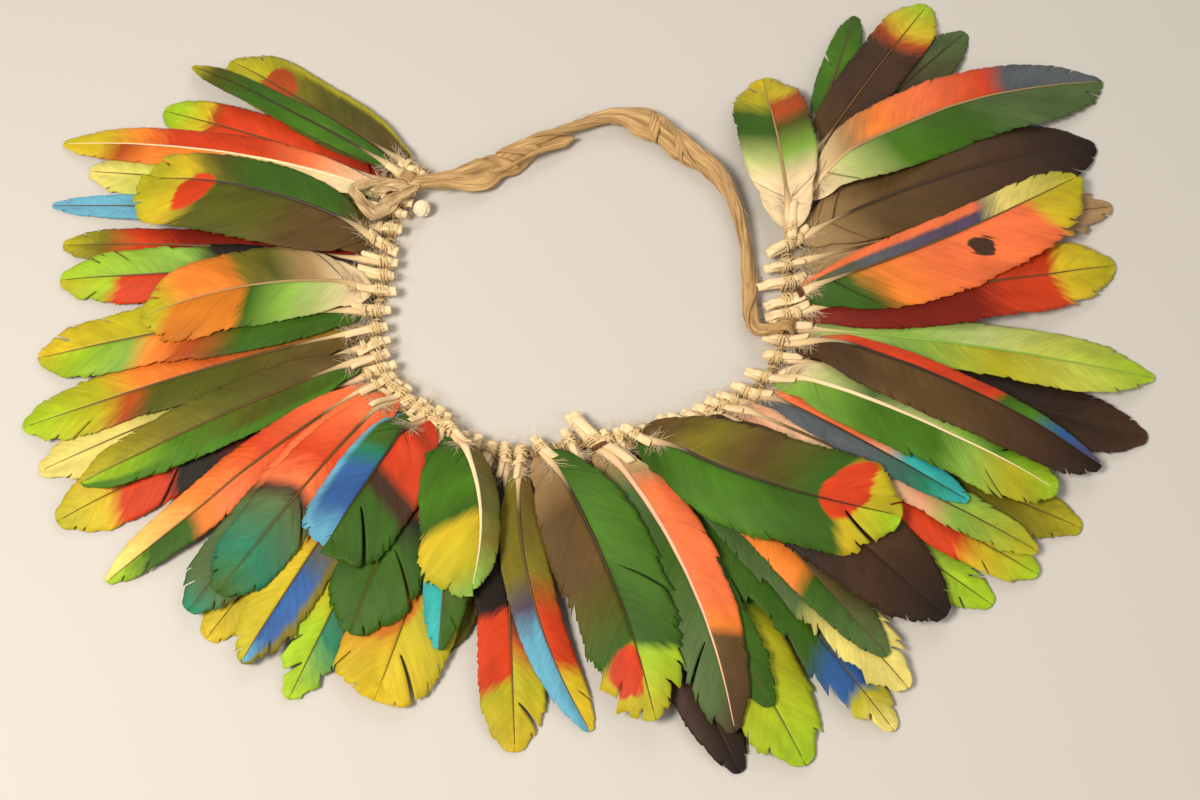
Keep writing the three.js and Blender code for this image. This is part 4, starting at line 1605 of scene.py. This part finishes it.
    def add_body(self, shell: Shell) -> None:
        """Adds the strip itself, folded and grooved along its run.

        Args:
            shell: what it is added to.
        """
        u, v = self.oval(self.half_width, self.half_depth, self.sides)
        place = u / self.half_width[:, None]
        s = (self.share * self.fold_run)[:, None]
        flat = np.clip((self.half_width / self.half_depth - 1.0)[:, None], 0.25, 1.0)
        fold = np.sin(2.3 * math.pi * place + 1.6 * np.sin(s / 21.0) + s / 37.0)
        crease = np.abs(np.sin(3.7 * math.pi * place + s / 29.0 + 1.1 * np.sin(s / 13.0)))
        depth = self.half_depth[:, None]
        v = v * (0.86 + 0.1 * np.sin(s / 11.0 + 2.0 * place))
        v = v + depth * flat * (self.folds * fold + 0.2 * crease - 0.1)
        u = u * (0.95 + 0.07 * np.sin(s / 8.3) * np.sin(s / 3.1 + 2.0) + 0.05 * np.sin(s / 2.3 + 4.0 * v))
        swell = sum(size * np.exp(-((self.share - at) / reach) ** 2) for at, reach, size in self.lumps)
        u, v = u * (1.0 + swell[:, None]), v * (1.0 + 0.7 * swell[:, None])
        self.sweep(shell, self.middle, self.across, self.over, (u, v), self.body_tint)

    def add_strands(self, shell: Shell, rng: np.random.Generator) -> None:
        """Adds peeled strands that wind round the strip, wide ones where it is bunched.

        Args:
            shell: what they are added to.
            rng: source of their unevenness.
        """
        for number, (start, end, turns, width) in enumerate(self.strands):
            part = slice(int(len(self.share) * start), int(len(self.share) * end))
            t = np.linspace(0.0, 1.0, part.stop - part.start)
            angle = 2.0 * math.pi * (turns * t + 0.27 * number) + 0.4 * np.sin(9.0 * t)
            u = (self.half_width[part] + 0.1) * np.cos(angle)
            v = (self.half_depth[part] + 0.25) * np.sin(angle)
            path = self.middle[part] + u[:, None] * self.across[part] + v[:, None] * self.over[part]
            ahead = unit(np.gradient(path, axis=0))
            over = unit(path - self.middle[part])
            over = unit(over - (over * ahead).sum(1, keepdims=True) * ahead)
            ease = np.sqrt(np.clip(np.minimum(t, 1.0 - t) * 9.0, 0.03, 1.0))
            size = 0.5 * width * ease * rng.uniform(0.85, 1.15)
            section = self.oval(size, 0.5 * self.strand_depth * ease, self.strand_sides)
            self.sweep(shell, path, np.cross(over, ahead), over, section, self.strand_tint + number)

    def add_flap(self, shell: Shell) -> None:
        """Adds the edge that has come loose below the left half of the strip.

        Args:
            shell: what it is added to.
        """
        part = slice(int(len(self.share) * self.flap_from), int(len(self.share) * self.flap_to))
        t = np.linspace(0.0, 1.0, part.stop - part.start)
        ahead = unit(np.gradient(self.middle[part], axis=0))
        aside = unit(np.cross(ahead, UP))
        path = self.middle[part] + (1.0 + 4.6 * t ** 2)[:, None] * aside + (1.6 - 2.4 * t)[:, None] * UP
        size = self.flap_width * np.sqrt(np.clip(4.0 * t, 0.03, 1.0)) * np.clip(6.0 * (1.02 - t), 0.25, 1.0)
        u, v = self.oval(size, np.full(len(t), self.flap_depth), self.flap_sides)
        v = v + 0.5 * np.sin(2.4 * u / self.flap_width + 5.0 * t[:, None])
        tilt = 0.5 * np.sin(4.0 * t)[:, None]
        across = unit(aside * np.cos(tilt) + UP * np.sin(tilt))
        self.sweep(shell, path, across, np.cross(ahead, across), (u, v), self.flap_tint)

    def add_tail(self, shell: Shell, bed: FeatherBed, knots: tuple, tint: float) -> None:
        """Adds one crumpled layer of the end that lies over the first quills.

        Args:
            shell: what it is added to.
            bed: upper side of the feathers.
            knots: places of its middle line, from the strip's own end, and its width there.
            tint: number that sets its streaks and creases.
        """
        start = self.middle[0]
        *plan, widths = np.array(knots).T
        plan = np.stack(plan, -1) + start[:2]
        heights = np.array([bed.top(x, y, self.bed_reach) + self.tail_gap for x, y in plan])
        heights[0] = start[2]
        at = np.linspace(0.0, 1.0, len(plan))
        t = np.linspace(0.0, 1.0, self.tail_steps * len(plan))
        path = np.stack([smoothed(at, values, t, 0.35 / len(plan)) for values in (*plan.T, heights)], -1)
        ahead = unit(np.gradient(path, axis=0))
        level = unit(np.cross(UP, ahead))
        tilt = 0.4 * np.sin(2.2 * len(plan) * t + tint)[:, None]
        aside = unit(level * np.cos(tilt) + np.cross(ahead, level) * np.sin(tilt))
        size = 0.5 * smoothed(at, widths, t, 0.3 / len(plan)) * (1.0 + 0.12 * np.sin(23.0 * t + tint))
        u, v = self.oval(size, np.full(len(t), 0.5 * self.tail_depth), self.tail_sides)
        wave = t[:, None] * len(plan)
        v = v + 0.3 * np.sin(1.1 * u + 1.9 * wave + tint) + 0.22 * np.sin(2.3 * u - 2.7 * wave)
        v = v + 0.5 * np.abs(np.sin(1.3 * u + 0.5 * np.sin(2.0 * wave) + tint))
        u = u + 0.35 * np.sin(4.1 * wave + u)
        self.sweep(shell, path, aside, np.cross(ahead, aside), (u, v), tint, 1)

    def add_bindings(self, shell: Shell, cord: Array) -> None:
        """Adds the turns that hold both ends of the strip to the cord.

        Args:
            shell: what they are added to.
            cord: middle line of the foundation cord.
        """
        steps, sides = self.hook_steps, self.hook_sides
        for end in (0, -1):
            held = self.middle[end]
            at = int(np.argmin(np.linalg.norm(cord[:, :2] - held[:2], axis=1)))
            along = unit(cord[min(at + 4, len(cord) - 1)] - cord[max(at - 4, 0)])
            aside = np.cross(UP, along)
            for turn in range(self.hook_turns):
                angle = np.linspace(0.0, 2.0 * math.pi, steps)
                top, low = held[2] + self.hook_rise, self.hook_low
                shift = (turn - 0.5 * (self.hook_turns - 1)) * self.hook_pitch
                path = cord[at] * (1.0, 1.0, 0.0) + (shift + 0.5 * np.sin(angle + turn))[:, None] * along
                path = path + (self.hook_reach * np.cos(angle))[:, None] * aside
                path[:, 2] = 0.5 * (top + low) + 0.5 * (top - low) * np.sin(angle)
                points, faces = tubes(path[None], np.full((1, steps), self.hook_radius), sides)
                streaks = np.repeat(np.linspace(0.0, 3.0, steps), sides)
                around = np.tile(np.linspace(0, 1, sides), steps)
                shell.add(points, faces, 0, (streaks, around, self.hook_tint + turn))

    def add_hairs(self, shell: Shell, rng: np.random.Generator) -> None:
        """Adds short fibres that have lifted off the strip.

        Args:
            shell: what they are added to.
            rng: source of their unevenness.
        """
        count, steps, sides = self.hairs, self.hair_steps, self.hair_sides
        t = np.linspace(0.0, 1.0, steps)
        at = rng.integers(2, len(self.middle) - 2, count)
        ahead = unit(np.gradient(self.middle, axis=0))[at]
        angle = rng.uniform(0.0, 2.0 * math.pi, count)
        out = (np.cos(angle) * self.half_width[at])[:, None] * self.across[at]
        out = out + (np.sin(angle) * self.half_depth[at])[:, None] * self.over[at]
        length = rng.uniform(*self.hair_lengths, (count, 1, 1))
        lean = rng.choice((-1.0, 1.0), (count, 1, 1))
        paths = (self.middle[at] + 0.85 * out)[:, None] + lean * length * t[:, None] * ahead[:, None]
        paths = paths + 0.18 * length * (t ** 1.6)[:, None] * unit(out)[:, None]
        paths[..., 2] = np.maximum(paths[..., 2], 0.2)
        radii = np.broadcast_to(0.16 - 0.1 * t, (count, steps))
        points, faces = tubes(paths, radii, sides)
        tints = np.repeat(rng.random(count) * self.hair_tints, steps * sides)
        shell.add(points, faces, 0, (0.4, 0.6, tints))

    def build(self, barks: list, cord: Array, bed: FeatherBed) -> bpy.types.Object:
        """Builds the strip in the place of its CAD node.

        Args:
            barks: finishes of the strip and of its papery end.
            cord: middle line of the foundation cord.
            bed: upper side of the feathers.

        Returns:
            The strip.
        """
        rng = np.random.default_rng(self.seed)
        shell = Shell()
        self.add_body(shell)
        self.add_strands(shell, rng)
        self.add_flap(shell)
        for number, knots in enumerate((self.torn_tail, self.tail, self.inner_tail)):
            self.add_tail(shell, bed, knots, self.tail_tint + 2.0 * number)
        self.add_bindings(shell, cord)
        self.add_hairs(shell, rng)
        return settle(shell.build("bark_strip", barks), "bark", "tie_strap")


@dataclass
class Studio:
    """Floor, lights and camera. Lamps have a name, a place, a power, a size and a tint."""

    lens: float = 50.0
    sensor: float = 36.0
    distance: float = 716.7
    elevation: float = 65.0
    target: tuple[float, float, float] = (4.8, -27.7, 6.0)
    floor_size: float = 6.0
    paper: Colour = (0.56, 0.53, 0.49, 1.0)
    paper_roughness: float = 0.85
    room_tint: Colour = (1.0, 0.96, 0.9, 1.0)
    room_light: float = 0.28
    lamps: tuple = (("key", (-0.55, -0.35, 0.95), 14.0, 0.35, (1.0, 0.93, 0.83)),
                    ("fill", (0.8, -0.5, 0.8), 3.5, 0.9, (1.0, 0.94, 0.86)),
                    ("back", (0.2, 0.9, 0.7), 3.5, 0.7, (1.0, 0.96, 0.92)))

    def floor(self) -> None:
        """Lays the pale floor."""
        half = 0.5 * self.floor_size
        mesh = bpy.data.meshes.new("floor")
        corners = [(-half, -half, 0.0), (half, -half, 0.0), (half, half, 0.0), (-half, half, 0.0)]
        mesh.from_pydata(corners, [], [(0, 1, 2, 3)])
        sketch = NodeSketch("floor_paper")
        sketch.shader.inputs["Base Color"].default_value = self.paper
        sketch.gloss(self.paper_roughness)
        mesh.materials.append(sketch.material)
        made = bpy.data.objects.new("floor", mesh)
        bpy.context.scene.collection.objects.link(made)

    def lamp(self, name: str, place: tuple, watts: float, size: float, tint: tuple) -> None:
        """Hangs one soft lamp that faces the part.

        Args:
            name: its name.
            place: where it hangs, in metres.
            watts: its power.
            size: side of its square.
            tint: its colour.
        """
        light = bpy.data.lights.new(name, "AREA")
        light.energy = watts
        light.size = size
        light.color = tint
        made = bpy.data.objects.new(name, light)
        made.location = place
        made.rotation_euler = (Vector(self.target) * MM - Vector(place)).to_track_quat("-Z", "Y").to_euler()
        bpy.context.scene.collection.objects.link(made)

    def build(self) -> None:
        """Sets up floor, lamps, world and camera."""
        self.floor()
        for row in self.lamps:
            self.lamp(*row)
        scene = bpy.context.scene
        world = bpy.data.worlds.new("studio")
        world.use_nodes = True
        room = world.node_tree.nodes["Background"]
        room.inputs["Color"].default_value = self.room_tint
        room.inputs["Strength"].default_value = self.room_light
        scene.world = world
        scene.view_settings.view_transform = "Standard"
        camera = bpy.data.cameras.new("camera")
        camera.lens = self.lens
        camera.sensor_width = self.sensor
        made = bpy.data.objects.new("camera", camera)
        target = Vector(self.target) * MM
        rise = math.radians(self.elevation)
        made.location = target + Vector((0.0, -math.cos(rise), math.sin(rise))) * self.distance * MM
        made.rotation_euler = (target - made.location).to_track_quat("-Z", "Y").to_euler()
        scene.collection.objects.link(made)
        scene.camera = made


def main() -> None:
    """Builds the headdress and its studio."""
    logging.basicConfig(level=logging.INFO, format="%(name)s: %(message)s")
    Studio().build()
    pigments = {plume.shaft: None for plume in PLUMES}
    shafts = {pigment: ShaftFinish(pigment).make() for pigment in pigments}
    down, fibre, thread, dark, white, papery, bark = (finish.make() for finish in STRANDS)
    feathers = [Feather(plume) for plume in PLUMES]
    plumes = [feather.build(shafts[feather.plume.shaft], down) for feather in feathers]
    cord = FoundationCord()
    cord.build(fibre)
    strip = BarkStrip()
    strip.build([bark, papery], cord.route(), FeatherBed(plumes))
    for piece in Lashings(feathers).build([thread, dark, white], cord.route(), strip.middle[0]):
        LOG.info("tied: %s", piece.name)


if __name__ == "__main__":
    main()
